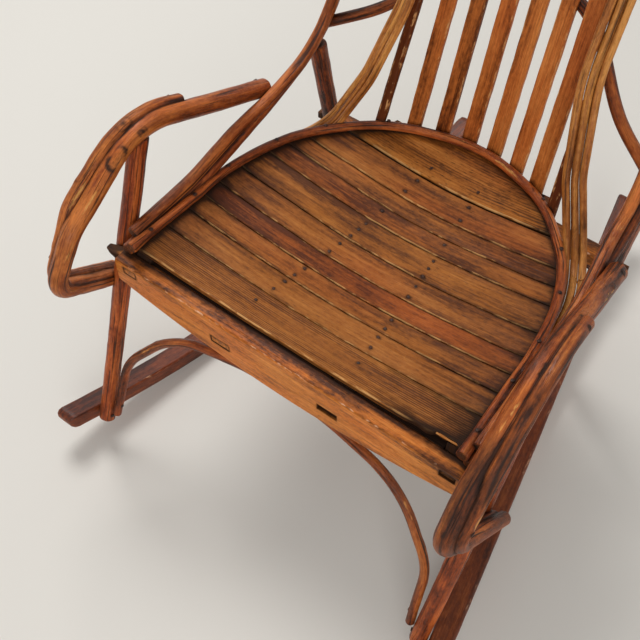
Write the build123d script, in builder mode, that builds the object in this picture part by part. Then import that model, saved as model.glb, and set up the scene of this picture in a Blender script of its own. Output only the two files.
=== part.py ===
"""Bentwood hickory rocking chair: bent rods, sawn rail and rockers, nailed slat seat and slat back.

Millimetres, +Z up, front of the chair towards -Y, origin on the floor under the middle of the rockers.
Right is +X. Every rod is a run of straight lengths joined by tangent bends.
"""
import os
from math import atan, cos, degrees, radians, sin, sqrt

from build123d import *

os.makedirs("parts", exist_ok=True)

# ------------------------------------------------------------------ driving dimensions
# rockers
ROCKER_LENGTH = 880.0
ROCKER_RADIUS = 1485.0  # curve of the runner's underside
ROCKER_LOW_Y = -48.0  # lowest point of the curve, under the centre of mass
ROCKER_WIDTH = 32.0
ROCKER_HEIGHT = 28.0
ROCKER_FRONT_X = 322.0  # half spread at the front tip
ROCKER_REAR_X = 158.0  # half spread at the rear tip
ROCKER_NOSE = 12.0  # rounding of both tips

# front legs and front rail
FRONT_LEG_R = 12.5
FRONT_LEG_FOOT = (283.0, -391.0, 52.0)
FRONT_LEG_TOP = (277.0, -223.0, 497.0)
RAIL_TOP_Z = 368.0
RAIL_FRONT_Y = -316.0
RAIL_THICKNESS = 23.0
RAIL_HALF_LENGTH = 268.0
RAIL_HEIGHT_MIDDLE = 74.0
RAIL_HEIGHT_END = 42.0
RAIL_EDGE_R = 2.5
TONGUE_TIP_X = 302.0
TONGUE_THICKNESS = 15.0  # the tongue laps over the front of the leg
TONGUE_HEIGHT = 20.0
TONGUE_Y = -298.5
TONGUE_Z = 356.0

# seat
SEAT_FRONT_Y = -290.0
SEAT_HALF_WIDTH = 240.0
SEAT_EDGE_Z = 386.0  # top of the slat ends at the front
SEAT_EDGE_SLOPE = -0.076  # the seat drops towards the back
SEAT_TAPER = 0.033  # the sides draw in towards the back
SEAT_SIDE_Y = -170.0  # the sides turn into the back from here
SEAT_SIDE_R = 459.0
SEAT_SIDE_TURN = 31.8  # degrees
SLAT_THICKNESS = 9.0
SLAT_GAP = 1.6
SLAT_LAST_GAP = 6.0
SLAT_PITCHES = (51.0, 41.0, 33.0, 33.0, 43.0, 48.0, 32.0, 29.0, 46.0)
SAG_FRONT = 10.0  # depth of the dish at the middle of the front slat
SAG_MIDDLE = 31.0
SAG_BACK = 0.4
BAY_HALF_WIDTH = 250.0
SEAT_HOOP_R = 6.5
SEAT_HOOP_INSET = 8.0
SEAT_HOOP_BITE = 2.4  # the rod is flattened where it lies on the slats

# bearers under the seat
BEARER_WIDTH = (30.0, 24.0)
BEARER_FRONT_X = (83.0, 237.0)
BEARER_REAR_X = (33.0, 120.0)
BEARER_REAR_Y = 138.0
BEARER_FRONT_BOTTOM = (312.0, 338.0)
BEARER_BELLY = (300.0, 312.0)
BEARER_REAR_BOTTOM = 303.0
TENON_WIDTH = (29.0, 20.0)
TENON_HEIGHT = 11.0
TENON_Z = (327.0, 356.0)
TENON_RECESS = 2.0

# rear rail, legs and stretchers
REAR_RAIL_Y = 121.0
REAR_RAIL_Z = 300.0
REAR_RAIL_DEPTH = 26.0
REAR_RAIL_HEIGHT = 22.0
REAR_RAIL_HALF_LENGTH = 231.0
REAR_TONGUE = 12.0
REAR_TONGUE_TIP_X = 262.0
REAR_LEG_R = 13.0
REAR_LEG_PATH = ((184.5, 141.0, 16.0), (240.0, 121.0, 300.0), (251.0, 100.0, 452.0))
REAR_LEG_BEND = 300.0
STRETCHER_R = 5.0
STRETCHER_Y = (292.0, 326.0)
STRETCHER_OVERHANG = 6.0
STRETCHER_BITE = 1.0

# arms: the inner rod is the stout one
ARM_R = 13.0
ARM_PATH = (
    (272.5, 6.0, 426.0),
    (285.0, -226.0, 526.0),
    (285.0, -356.0, 445.0),
    (287.0, -402.0, 376.0),
    (303.5, -296.0, 286.0),
)
ARM_BENDS = (112.0, 60.0, 30.0)
OUTER_ARM_R = 9.0
OUTER_ARM_PATH = (
    (291.0, -139.0, 498.0),
    (296.0, -227.0, 538.0),
    (301.0, -337.0, 467.0),
    (299.5, -394.0, 378.0),
    (313.0, -289.0, 292.0),
)
OUTER_ARM_BENDS = (122.0, 60.0, 24.0)

# the outer back hoop: two rods that lie along the seat and go up round the back
BACK_LEAN = 0.374  # y per z of both back hoops
HOOP_R = 8.4
HOOP_STEP = 17.1
HOOP_ACROSS = (-0.52, 0.0, 0.854)  # the second rod lies above the first and a little inside it
HOOP_SET_BACK = 7.0
HOOP_SEAT_PATH = ((258.3, -311.0, 376.0), (252.0, -165.0, 382.0), (254.5, -14.0, 411.0))
HOOP_BACK_PATH = ((254.5, 452.0), (206.0, 800.0), (191.0, 905.0), (95.0, 1012.0))  # x, z
HOOP_BENDS = (250.0, 300.0, 125.0, 400.0, 200.0, 175.0)

# the inner back hoop: three thin rods side by side
STRAND_R = 5.25
STRAND_STEP = 10.85
STRAND_SEAT_PATH = ((253.5, -158.0, 372.0), (235.0, -8.0, 351.0), (205.0, 62.0, 340.0))
STRAND_BACK_PATH = ((161.0, 440.0), (133.0, 556.0), (129.0, 866.0), (68.0, 948.0))  # x, z
STRAND_BENDS = (300.0, 58.0, 170.0, 300.0, 140.0, 100.0)

# the bow behind the back slats
BOW_R = 8.0
BOW_PATH = ((251.0, 113.0), (178.0, 147.0), (78.0, 230.0))  # x, y
BOW_BENDS = (220.0, 160.0)
BOW_START_Y = 75.0
BOW_START_Z = 440.0
BOW_TILT = 1.03  # z per y

# the arch under the front rail
ARCH_R = 6.5
ARCH_PATH = ((264.3, 70.0), (256.0, 172.0), (183.0, 262.0), (58.0, 288.0))  # x, z
ARCH_BENDS = (95.0, 150.0, 300.0)
ARCH_TOP_Y = -304.0
ARCH_LEAN = 0.37

# back slats
BACK_SLAT_X = (20.5, 61.5, 102.0, 143.0)
BACK_SLAT_TOP_X = (19.0, 55.0, 86.0, 110.0)
BACK_SLAT_WIDTH = (23.0, 22.0, 22.0, 15.0)
BACK_SLAT_THICKNESS = (8.0, 8.0, 8.0, 11.0)
BACK_SLAT_TOP_Z = 970.0
CROWN = ((150.0, 300.0), (150.0, 874.0), (78.0, 967.0))  # the slat tops follow the hoop: x, z
CROWN_BENDS = (150.0, 115.0)
BACK_SLAT_MEET_Z = (958.0, 952.0, 932.0, 905.0)  # where each slat meets the hoop
BACK_SLAT_FOOT_Z = 326.0
BACK_SLAT_BITE = 0.8

# nails
NAIL_R = 1.4
NAIL_HEAD_R = 2.6
NAIL_HEAD_HEIGHT = 1.4
NAIL_SINK = 0.6
NAIL_LENGTH = 16.0
SEAT_NAIL_Y = (-258, -227, -207, -189, -171, -124, -103, -82, -66, -51, -18, 31, 57, 87)
HOOP_NAIL_LENGTH = 19.0
HOOP_NAIL_Y = (-265.0, -181.0, -110.0, -25.0, 43.0, 110.0)
ARM_NAIL_LENGTH = 32.0
ARM_NAIL_HEAD_R = 3.6
FRAME_NAIL_LENGTH = 30.0
BACK_NAIL_LENGTH = 14.0


# ------------------------------------------------------------------ worked-out places
def rocker_x(y):
    """Middle of the right rocker seen from above."""
    along = (y + ROCKER_LENGTH / 2) / ROCKER_LENGTH
    return ROCKER_FRONT_X + (ROCKER_REAR_X - ROCKER_FRONT_X) * along


def rocker_under_z(y):
    """Underside of the rocker's curve."""
    return ROCKER_RADIUS - sqrt(ROCKER_RADIUS**2 - (y - ROCKER_LOW_Y) ** 2)


# plan of the seat: tapered sides, a large side arc and a back arc, all tangent
taper_angle = atan(SEAT_TAPER)
corner_angle = taper_angle + radians(SEAT_SIDE_TURN)
side_x = SEAT_HALF_WIDTH - SEAT_TAPER * (SEAT_SIDE_Y - SEAT_FRONT_Y)
flank_centre_x = side_x - SEAT_SIDE_R * cos(taper_angle)
flank_centre_y = SEAT_SIDE_Y - SEAT_SIDE_R * sin(taper_angle)
corner_x = flank_centre_x + SEAT_SIDE_R * cos(corner_angle)
corner_y = flank_centre_y + SEAT_SIDE_R * sin(corner_angle)
back_radius = corner_x / cos(corner_angle)
back_centre_y = corner_y - back_radius * sin(corner_angle)
seat_back_y = back_centre_y + back_radius


def seat_half_width(y):
    if y <= SEAT_SIDE_Y:
        return SEAT_HALF_WIDTH - SEAT_TAPER * (y - SEAT_FRONT_Y)
    if y <= corner_y:
        return flank_centre_x + sqrt(SEAT_SIDE_R**2 - (y - flank_centre_y) ** 2)
    return sqrt(max(back_radius**2 - (y - back_centre_y) ** 2, 0.0))


def seat_rear_y(x):
    """Rear edge of the seat at a place across it."""
    return back_centre_y + sqrt(back_radius**2 - x**2)


def seat_edge_z(y):
    return SEAT_EDGE_Z + SEAT_EDGE_SLOPE * (y - SEAT_FRONT_Y)


def seat_top_z(x, y):
    """Top of the dished seat: the dish is deepest at the middle and shallow at front and back."""
    t = (y - SEAT_FRONT_Y) / (seat_back_y - SEAT_FRONT_Y)
    sag = SAG_FRONT * (1 - t) * (1 - 2 * t) + 4 * SAG_MIDDLE * t * (1 - t) + SAG_BACK * t * (2 * t - 1)
    half = max(seat_half_width(y), 130.0)
    return seat_edge_z(y) - sag * (1 - (x / half) ** 2)


def back_plane_y(z):
    """The leaning plane of the back hoops."""
    return 71.0 + BACK_LEAN * (z - 368.0)


def front_leg_at(z):
    """Middle of the right front leg at a height."""
    foot, top = Vector(*FRONT_LEG_FOOT), Vector(*FRONT_LEG_TOP)
    return foot + (top - foot) * ((z - foot.Z) / (top.Z - foot.Z))


# ------------------------------------------------------------------ helpers
def both_ways(half):
    """A path that is the same on both sides, from the right end over the top to the left end."""
    return [tuple(p) for p in half] + [(-x, y, z) for x, y, z in reversed(half)]


def rod(points, bends, radius):
    with BuildPart() as bent:
        with BuildLine():
            path = FilletPolyline(*points, radius=list(bends)) if bends else Line(*points)
        with BuildSketch(Plane(origin=path @ 0, z_dir=path % 0)):
            Circle(radius)
        sweep()
    return bent.part


def alongside(points, bends, across, step):
    """The path of a rod that lies beside another one at the same distance all the way."""
    corners = [Vector(*p) for p in points]
    runs = [(b - a).normalized() for a, b in zip(corners, corners[1:])]
    side = Vector(*across)
    side = (side - runs[0] * side.dot(runs[0])).normalized()
    moved, radii = [corners[0] + side * step], []
    for before, after, corner, bend in zip(runs, runs[1:], corners[1:], bends):
        axis = before.cross(after).normalized()
        inward, turned = axis.cross(before), axis.cross(after)
        level, depth = side.dot(axis), side.dot(inward)
        mitre = (inward + turned) * (1 / (1 + inward.dot(turned)))
        moved.append(corner + (axis * level + mitre * depth) * step)
        radii.append(bend - depth * step)
        side = axis * level + turned * depth
    moved.append(corners[-1] + side * step)
    return [tuple(p) for p in moved], radii


def cut(part, *tools):
    """A piece notched round what it bears on."""
    with BuildPart() as notched:
        add(part)
        for tool in tools:
            add(tool, mode=Mode.SUBTRACT)
    return notched.part


def other_side(part):
    return mirror(part, about=Plane.YZ)


def keep(part, name):
    part.label = name
    export_step(part, f"parts/{name}.step")


def keep_pair(part, name):
    keep(part, f"{name}_right")
    keep(other_side(part), f"{name}_left")


def nails(spots, length=NAIL_LENGTH, head=NAIL_HEAD_R):
    """Nails with flat heads: each spot is a place on a surface and the way out of it."""
    places = [Location(Plane(origin=place, z_dir=out)) for place, out in spots]
    with BuildPart() as group:
        with Locations(*places):
            with Locations((0, 0, -NAIL_SINK)):
                Cylinder(head, NAIL_HEAD_HEIGHT, align=(Align.CENTER, Align.CENTER, Align.MIN))
                Cylinder(NAIL_R, length, align=(Align.CENTER, Align.CENTER, Align.MAX))
    return group.part


# ------------------------------------------------------------------ rockers
half_length = ROCKER_LENGTH / 2
front_z, rear_z = rocker_under_z(-half_length), rocker_under_z(half_length)
with BuildPart() as rocker:
    with BuildSketch(Plane.YZ) as side_view:
        with BuildLine():
            ThreePointArc((-half_length, front_z), (ROCKER_LOW_Y, 0), (half_length, rear_z))
            Line((half_length, rear_z), (half_length, rear_z + ROCKER_HEIGHT))
            ThreePointArc(
                (half_length, rear_z + ROCKER_HEIGHT),
                (ROCKER_LOW_Y, ROCKER_HEIGHT),
                (-half_length, front_z + ROCKER_HEIGHT),
            )
            Line((-half_length, front_z + ROCKER_HEIGHT), (-half_length, front_z))
        make_face()
        fillet(side_view.vertices(), ROCKER_NOSE)
    extrude(amount=ROCKER_FRONT_X + ROCKER_WIDTH)
    with BuildSketch(Plane.XY):
        with BuildLine():
            Polyline(
                (ROCKER_FRONT_X - ROCKER_WIDTH / 2, -half_length),
                (ROCKER_FRONT_X + ROCKER_WIDTH / 2, -half_length),
                (ROCKER_REAR_X + ROCKER_WIDTH / 2, half_length),
                (ROCKER_REAR_X - ROCKER_WIDTH / 2, half_length),
                close=True,
            )
        make_face()
    extrude(amount=front_z + 2 * ROCKER_HEIGHT, mode=Mode.INTERSECT)

# ------------------------------------------------------------------ seat slats
with BuildSketch() as seat_plan:
    with BuildLine():
        side = Line((SEAT_HALF_WIDTH, SEAT_FRONT_Y), (side_x, SEAT_SIDE_Y))
        flank = JernArc(side @ 1, side % 1, SEAT_SIDE_R, SEAT_SIDE_TURN)
        JernArc(flank @ 1, flank % 1, back_radius, 90 - degrees(corner_angle))
        mirror(about=Plane.YZ)
        Line((-SEAT_HALF_WIDTH, SEAT_FRONT_Y), (SEAT_HALF_WIDTH, SEAT_FRONT_Y))
    make_face()

seams = [SEAT_FRONT_Y]
for pitch in SLAT_PITCHES:
    seams.append(seams[-1] + pitch)
seams.append(seat_back_y)


def seat_bay(front_y, back_y, rise):
    """The dished seat between two seams, with its top face raised."""
    with BuildPart() as bay:
        for y in (front_y, back_y):
            edge = seat_top_z(BAY_HALF_WIDTH, y) - SLAT_THICKNESS
            middle = seat_top_z(0, y) - SLAT_THICKNESS
            with BuildSketch(Plane.XZ.offset(-y)):
                with BuildLine():
                    ThreePointArc((-BAY_HALF_WIDTH, edge), (0, middle), (BAY_HALF_WIDTH, edge))
                    Line((BAY_HALF_WIDTH, edge), (BAY_HALF_WIDTH, edge + rise))
                    ThreePointArc(
                        (BAY_HALF_WIDTH, edge + rise), (0, middle + rise), (-BAY_HALF_WIDTH, edge + rise)
                    )
                    Line((-BAY_HALF_WIDTH, edge + rise), (-BAY_HALF_WIDTH, edge))
                make_face()
        loft()
    return bay.part


bays = [seat_bay(a, b, SLAT_THICKNESS) for a, b in zip(seams, seams[1:])]
clearances = [seat_bay(a, b, 90.0) for a, b in zip(seams, seams[1:])]

seat_slats = []
for number, bay in enumerate(bays):
    front_gap = SLAT_LAST_GAP if number == len(bays) - 1 else SLAT_GAP
    front_y, back_y = seams[number] + front_gap / 2, seams[number + 1] - SLAT_GAP / 2
    with BuildPart() as slat:
        add(bay)
        with BuildSketch(Plane.XY):
            add(seat_plan.sketch)
            with Locations((0, (front_y + back_y) / 2)):
                Rectangle(2 * BAY_HALF_WIDTH, back_y - front_y, mode=Mode.INTERSECT)
        extrude(amount=500, mode=Mode.INTERSECT)
    seat_slats.append(slat.part)

# ------------------------------------------------------------------ seat hoop
hoop_drop = SEAT_HOOP_R - SEAT_HOOP_BITE
tilted = Plane(
    origin=(0, SEAT_FRONT_Y, SEAT_EDGE_Z + hoop_drop), x_dir=(1, 0, 0), z_dir=(0, -SEAT_EDGE_SLOPE, 1)
)
hoop_x = SEAT_HALF_WIDTH - SEAT_HOOP_INSET
with BuildPart() as seat_hoop:
    with BuildLine(tilted):
        right = Line((hoop_x, 3), (side_x - SEAT_HOOP_INSET, SEAT_SIDE_Y - SEAT_FRONT_Y))
        flank = JernArc(right @ 1, right % 1, SEAT_SIDE_R - SEAT_HOOP_INSET, SEAT_SIDE_TURN)
        rear = JernArc(flank @ 1, flank % 1, back_radius - SEAT_HOOP_INSET, 180 - 2 * degrees(corner_angle))
        flank = JernArc(rear @ 1, rear % 1, SEAT_SIDE_R - SEAT_HOOP_INSET, SEAT_SIDE_TURN)
        Line(flank @ 1, (-hoop_x, 3))
    with BuildSketch(Plane(origin=right @ 0, z_dir=right % 0)):
        Circle(SEAT_HOOP_R)
    sweep()

# ------------------------------------------------------------------ front rail
rail_back_y = RAIL_FRONT_Y + RAIL_THICKNESS
with BuildPart() as front_rail:
    with BuildSketch(Plane.XZ.offset(-rail_back_y)):
        with BuildLine():
            low_end, low_middle = RAIL_TOP_Z - RAIL_HEIGHT_END, RAIL_TOP_Z - RAIL_HEIGHT_MIDDLE
            ThreePointArc((-RAIL_HALF_LENGTH, low_end), (0, low_middle), (RAIL_HALF_LENGTH, low_end))
            Polyline(
                (RAIL_HALF_LENGTH, low_end),
                (RAIL_HALF_LENGTH, RAIL_TOP_Z),
                (-RAIL_HALF_LENGTH, RAIL_TOP_Z),
                (-RAIL_HALF_LENGTH, low_end),
            )
        make_face()
    extrude(amount=RAIL_THICKNESS)
    long_edges = front_rail.edges().filter_by(Axis.X)
    fillet(long_edges.sort_by(Axis.Y)[0], RAIL_EDGE_R)
    tongue_length = TONGUE_TIP_X - RAIL_HALF_LENGTH + RAIL_THICKNESS / 2
    tongue_x = TONGUE_TIP_X - tongue_length / 2
    with Locations((-tongue_x, TONGUE_Y, TONGUE_Z), (tongue_x, TONGUE_Y, TONGUE_Z)):
        Box(tongue_length, TONGUE_THICKNESS, TONGUE_HEIGHT)

# ------------------------------------------------------------------ rear rail
with BuildPart() as rear_rail:
    with Locations((0, REAR_RAIL_Y, REAR_RAIL_Z)):
        Box(2 * REAR_RAIL_HALF_LENGTH, REAR_RAIL_DEPTH, REAR_RAIL_HEIGHT)
        Box(2 * REAR_TONGUE_TIP_X, REAR_TONGUE, REAR_TONGUE)


# ------------------------------------------------------------------ bearers
def bearer_x(number, y):
    along = (y - rail_back_y) / (BEARER_REAR_Y - rail_back_y)
    return BEARER_FRONT_X[number] + (BEARER_REAR_X[number] - BEARER_FRONT_X[number]) * along


def bearer(number):
    """A long board that hangs between the rails, its top fitted to the slats, its tenon in the rail."""
    bottom_front, belly = BEARER_FRONT_BOTTOM[number], BEARER_BELLY[number]
    half_width, half_tenon = BEARER_WIDTH[number] / 2, TENON_WIDTH[number] / 2
    front_x, rear_x = bearer_x(number, rail_back_y), bearer_x(number, BEARER_REAR_Y)
    tenon_x = bearer_x(number, RAIL_FRONT_Y)
    with BuildPart() as board:
        with BuildSketch(Plane.YZ):
            with BuildLine():
                ThreePointArc(
                    (rail_back_y, bottom_front), (-90, belly), (BEARER_REAR_Y, BEARER_REAR_BOTTOM)
                )
                Polyline(
                    (BEARER_REAR_Y, BEARER_REAR_BOTTOM),
                    (BEARER_REAR_Y, SEAT_EDGE_Z),
                    (rail_back_y, SEAT_EDGE_Z),
                    (rail_back_y, bottom_front),
                )
            make_face()
        extrude(amount=2 * SEAT_HALF_WIDTH)
        with BuildSketch(Plane.XY):
            with BuildLine():
                Polyline(
                    (front_x - half_width, rail_back_y),
                    (front_x + half_width, rail_back_y),
                    (rear_x + half_width, BEARER_REAR_Y),
                    (rear_x - half_width, BEARER_REAR_Y),
                    close=True,
                )
            make_face()
        extrude(amount=2 * SEAT_EDGE_Z, mode=Mode.INTERSECT)
        for clearance in clearances:
            add(clearance, mode=Mode.SUBTRACT)
        with BuildSketch(Plane.XY.offset(TENON_Z[number] - TENON_HEIGHT / 2)):
            with BuildLine():
                tip_y = RAIL_FRONT_Y + TENON_RECESS
                Polyline(
                    (tenon_x - half_tenon, tip_y),
                    (tenon_x + half_tenon, tip_y),
                    (front_x + half_tenon, rail_back_y),
                    (front_x - half_tenon, rail_back_y),
                    close=True,
                )
            make_face()
        extrude(amount=TENON_HEIGHT)
        # what is left in front of the first slat stops level with the rail
        with BuildSketch(Plane.XY.offset(RAIL_TOP_Z)):
            with Locations((0, (rail_back_y + SEAT_FRONT_Y) / 2)):
                Rectangle(4 * SEAT_HALF_WIDTH, SEAT_FRONT_Y - rail_back_y)
        extrude(amount=RAIL_HEIGHT_END, mode=Mode.SUBTRACT)
    return board.part


inner_bearer, outer_bearer = bearer(0), bearer(1)
inner_bearer, outer_bearer = cut(inner_bearer, rear_rail.part), cut(outer_bearer, rear_rail.part)

# ------------------------------------------------------------------ bent rods
hoop_half = list(HOOP_SEAT_PATH) + [(x, back_plane_y(z) + HOOP_SET_BACK, z) for x, z in HOOP_BACK_PATH]
hoop_path = both_ways(hoop_half)
hoop_bends = list(HOOP_BENDS) + list(reversed(HOOP_BENDS))
outer_hoop_rear = rod(hoop_path, hoop_bends, HOOP_R)
outer_hoop_front = rod(*alongside(hoop_path, hoop_bends, HOOP_ACROSS, HOOP_STEP), HOOP_R)

strand_half = list(STRAND_SEAT_PATH) + [(x, back_plane_y(z), z) for x, z in STRAND_BACK_PATH]
strand_path = both_ways(strand_half)
strand_bends = list(STRAND_BENDS) + list(reversed(STRAND_BENDS))
strands = [
    rod(*alongside(strand_path, strand_bends, (-1, 0, 0), step), STRAND_R)
    for step in (-STRAND_STEP, 0, STRAND_STEP)
]

bow_half = [(x, y, BOW_START_Z + BOW_TILT * (y - BOW_START_Y)) for x, y in BOW_PATH]
back_bow = rod(both_ways(bow_half), list(BOW_BENDS) + list(reversed(BOW_BENDS)), BOW_R)

arch_half = [(x, ARCH_TOP_Y - ARCH_LEAN * (ARCH_PATH[-1][1] - z), z) for x, z in ARCH_PATH]
front_arch = rod(both_ways(arch_half), list(ARCH_BENDS) + list(reversed(ARCH_BENDS)), ARCH_R)

arm = rod(ARM_PATH, ARM_BENDS, ARM_R)
outer_arm = rod(OUTER_ARM_PATH, OUTER_ARM_BENDS, OUTER_ARM_R)
front_leg = rod((FRONT_LEG_FOOT, FRONT_LEG_TOP), [], FRONT_LEG_R)
rear_leg = rod(REAR_LEG_PATH, [REAR_LEG_BEND], REAR_LEG_R)

stretchers = []
for y in STRETCHER_Y:
    with BuildPart() as stretcher:
        reach = rocker_x(y) + ROCKER_WIDTH / 2 + STRETCHER_OVERHANG
        height = rocker_under_z(y) + ROCKER_HEIGHT + STRETCHER_R - STRETCHER_BITE
        with BuildSketch(Plane.YZ):
            with Locations((y, height)):
                Circle(STRETCHER_R)
        extrude(amount=reach, both=True)
    stretchers.append(stretcher.part)


# ------------------------------------------------------------------ back slats
def back_slat_y(number, z):
    """Front face of a back slat: from the rear edge of the seat to the back of the inner hoop."""
    touch_z = seat_edge_z(seat_back_y)
    touch_y = seat_rear_y(BACK_SLAT_X[number] - BACK_SLAT_WIDTH[number] / 2) - BACK_SLAT_BITE
    meet_z = BACK_SLAT_MEET_Z[number]
    meet_y = back_plane_y(meet_z) + STRAND_R / cos(atan(BACK_LEAN)) - BACK_SLAT_BITE
    return touch_y + (meet_y - touch_y) * (z - touch_z) / (meet_z - touch_z)


def back_slat_x(number, z):
    along = (z - BACK_SLAT_FOOT_Z) / (BACK_SLAT_TOP_Z - BACK_SLAT_FOOT_Z)
    return BACK_SLAT_X[number] + (BACK_SLAT_TOP_X[number] - BACK_SLAT_X[number]) * along


def back_slat(number):
    """A straight board from behind the seat to the back of the inner hoop."""
    foot_x, top_x, width = BACK_SLAT_X[number], BACK_SLAT_TOP_X[number], BACK_SLAT_WIDTH[number]
    thickness = BACK_SLAT_THICKNESS[number]
    with BuildPart() as board:
        for x, z in ((foot_x, BACK_SLAT_FOOT_Z), (top_x, BACK_SLAT_TOP_Z)):
            with BuildSketch(Plane.XY.offset(z)):
                with Locations((x, back_slat_y(number, z) + thickness / 2)):
                    Rectangle(width, thickness)
        loft()
        with BuildSketch(Plane.XZ):
            with BuildLine():
                crown = list(CROWN) + [(-x, z) for x, z in reversed(CROWN)]
                FilletPolyline(*crown, radius=list(CROWN_BENDS) + list(reversed(CROWN_BENDS)))
                Line(crown[-1], crown[0])
            make_face()
        extrude(amount=-ROCKER_LENGTH, mode=Mode.INTERSECT)
    return board.part


back_slats = [back_slat(number) for number in range(len(BACK_SLAT_X))]

# ------------------------------------------------------------------ nails
def toward(outer, inner, radius):
    """The spot where a nail goes in to join an outer piece to an inner one, from their middles."""
    out = (Vector(*outer) - Vector(*inner)).normalized()
    return Vector(*outer) + out * radius, out


def both(spots):
    return spots + [(Vector(-p.X, p.Y, p.Z), Vector(-d.X, d.Y, d.Z)) for p, d in spots]


def on_run(points, number, along):
    """A place on one straight run of a path."""
    start, end = Vector(*points[number]), Vector(*points[number + 1])
    return start + (end - start) * along


seat_spots = []
for y in SEAT_NAIL_Y:
    x = bearer_x(0, y)
    seat_spots.append((Vector(x, y, seat_top_z(x, y)), Vector(0, 0, 1)))
seat_nails = nails(both(seat_spots))

hoop_spots = []
for y in HOOP_NAIL_Y:
    place = (seat_half_width(y) - SEAT_HOOP_INSET, y, seat_edge_z(y) + hoop_drop + SEAT_HOOP_R)
    hoop_spots.append((Vector(*place), Vector(0, -SEAT_EDGE_SLOPE, 1).normalized()))
hoop_nails = nails(both(hoop_spots), HOOP_NAIL_LENGTH)

crossing, joint = on_run(OUTER_ARM_PATH, 2, 0.72), on_run(ARM_PATH, 2, 0.6)
leg_joint = front_leg_at(294.0)
arm_spots = [
    toward(crossing, (joint.X, crossing.Y, crossing.Z), OUTER_ARM_R),
    toward(on_run(OUTER_ARM_PATH, 0, 0.14), on_run(ARM_PATH, 0, 0.66), OUTER_ARM_R),
    toward(on_run(ARM_PATH, 0, 0.05), on_run(hoop_path, 2, 0.04), ARM_R),
    toward(on_run(ARM_PATH, 3, 0.93), leg_joint, ARM_R),
]
arm_nails = nails(both(arm_spots), ARM_NAIL_LENGTH, ARM_NAIL_HEAD_R)

rocker_side = Vector(ROCKER_LENGTH, ROCKER_FRONT_X - ROCKER_REAR_X, 0).normalized()
front_foot, rear_foot = front_leg_at(FRONT_LEG_FOOT[2] + 11), on_run(REAR_LEG_PATH, 0, 0.04)
arch_foot = on_run(arch_half, 0, 0.2)
tongue_front = TONGUE_Y - TONGUE_THICKNESS / 2
frame_spots = [
    (front_foot - rocker_side * FRONT_LEG_R, rocker_side * -1),
    (rear_foot - rocker_side * REAR_LEG_R, rocker_side * -1),
    (Vector(front_leg_at(TONGUE_Z).X, tongue_front, TONGUE_Z - 1.0), Vector(0, -1, 0)),
    toward(arch_foot, front_leg_at(arch_foot.Z), ARCH_R),
]
frame_nails = nails(both(frame_spots), FRAME_NAIL_LENGTH)

back_spots = []
for number, thickness in enumerate(BACK_SLAT_THICKNESS):
    for z in (seat_edge_z(seat_back_y) - SLAT_THICKNESS / 2 - 1, BACK_SLAT_MEET_Z[number] - 2):
        place = Vector(back_slat_x(number, z), back_slat_y(number, z) + thickness, z)
        back_spots.append((place, Vector(0, 1, 0)))
back_nails = nails(both(back_spots), BACK_NAIL_LENGTH)

# ------------------------------------------------------------------ fitting the pieces to each other
rockers = [rocker.part, other_side(rocker.part)]
outer_hoop_rear = cut(outer_hoop_rear, front_rail.part)
front_leg = cut(front_leg, rocker.part, front_rail.part, arm)
front_legs = [front_leg, other_side(front_leg)]
arm = cut(arm, outer_hoop_rear, front_leg)
outer_arm = cut(outer_arm, arm, arm_nails)
rear_leg = cut(rear_leg, rocker.part, rear_rail.part, outer_hoop_rear, outer_hoop_front, frame_nails)
outer_hoop_rear = cut(outer_hoop_rear, *front_legs)
strands = [cut(strand, outer_hoop_rear) for strand in strands]
back_bow = cut(back_bow, outer_hoop_rear, outer_hoop_front)
front_arch = cut(front_arch, front_rail.part, *front_legs, frame_nails)
fitted_hoop = cut(seat_hoop.part, *bays, hoop_nails)
slat_seats = [*seat_slats[-2:], fitted_hoop, *strands, back_bow, back_nails]
back_slats = [cut(slat, *slat_seats) for slat in back_slats]
stretchers = [cut(stretcher, *rockers) for stretcher in stretchers]
outer_bearer = cut(outer_bearer, *back_slats[-2:], hoop_nails)
inner_bearer = cut(inner_bearer, seat_nails)
bearers = [inner_bearer, outer_bearer, other_side(inner_bearer), other_side(outer_bearer)]
rail = cut(front_rail.part, *bearers, frame_nails)
front_leg = cut(front_leg, frame_nails, arm_nails)
arm = cut(arm, arm_nails)
outer_hoop_rear = cut(outer_hoop_rear, arm_nails)
rocker_nailed = cut(rocker.part, frame_nails)
strands = [cut(strand, back_nails) for strand in strands]
seat_slats = [cut(slat, seat_nails, hoop_nails) for slat in seat_slats]
seat_slats[-1] = cut(seat_slats[-1], back_nails)

# ------------------------------------------------------------------ hand-in
keep_pair(rocker_nailed, "rocker")
keep_pair(front_leg, "front_leg")
keep_pair(rear_leg, "rear_leg")
keep(rail, "front_rail")
keep(rear_rail.part, "rear_rail")
keep_pair(inner_bearer, "inner_bearer")
keep_pair(outer_bearer, "outer_bearer")
for number, slat in enumerate(seat_slats, start=1):
    keep(slat, f"seat_slat_{number:02d}")
keep(fitted_hoop, "seat_hoop")
keep(outer_hoop_rear, "outer_hoop_rear")
keep(outer_hoop_front, "outer_hoop_front")
for strand, name in zip(strands, ("outer", "middle", "inner")):
    keep(strand, f"inner_hoop_{name}")
for number, slat in enumerate(back_slats, start=1):
    keep_pair(slat, f"back_slat_{number}")
keep_pair(arm, "arm_inner")
keep_pair(outer_arm, "arm_outer")
keep(back_bow, "back_bow")
keep(front_arch, "front_arch")
for stretcher, name in zip(stretchers, ("front", "rear")):
    keep(stretcher, f"stretcher_{name}")
keep(seat_nails, "seat_nails")
keep(hoop_nails, "hoop_nails")
keep(arm_nails, "arm_nails")
keep(frame_nails, "frame_nails")
keep(back_nails, "back_nails")
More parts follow.
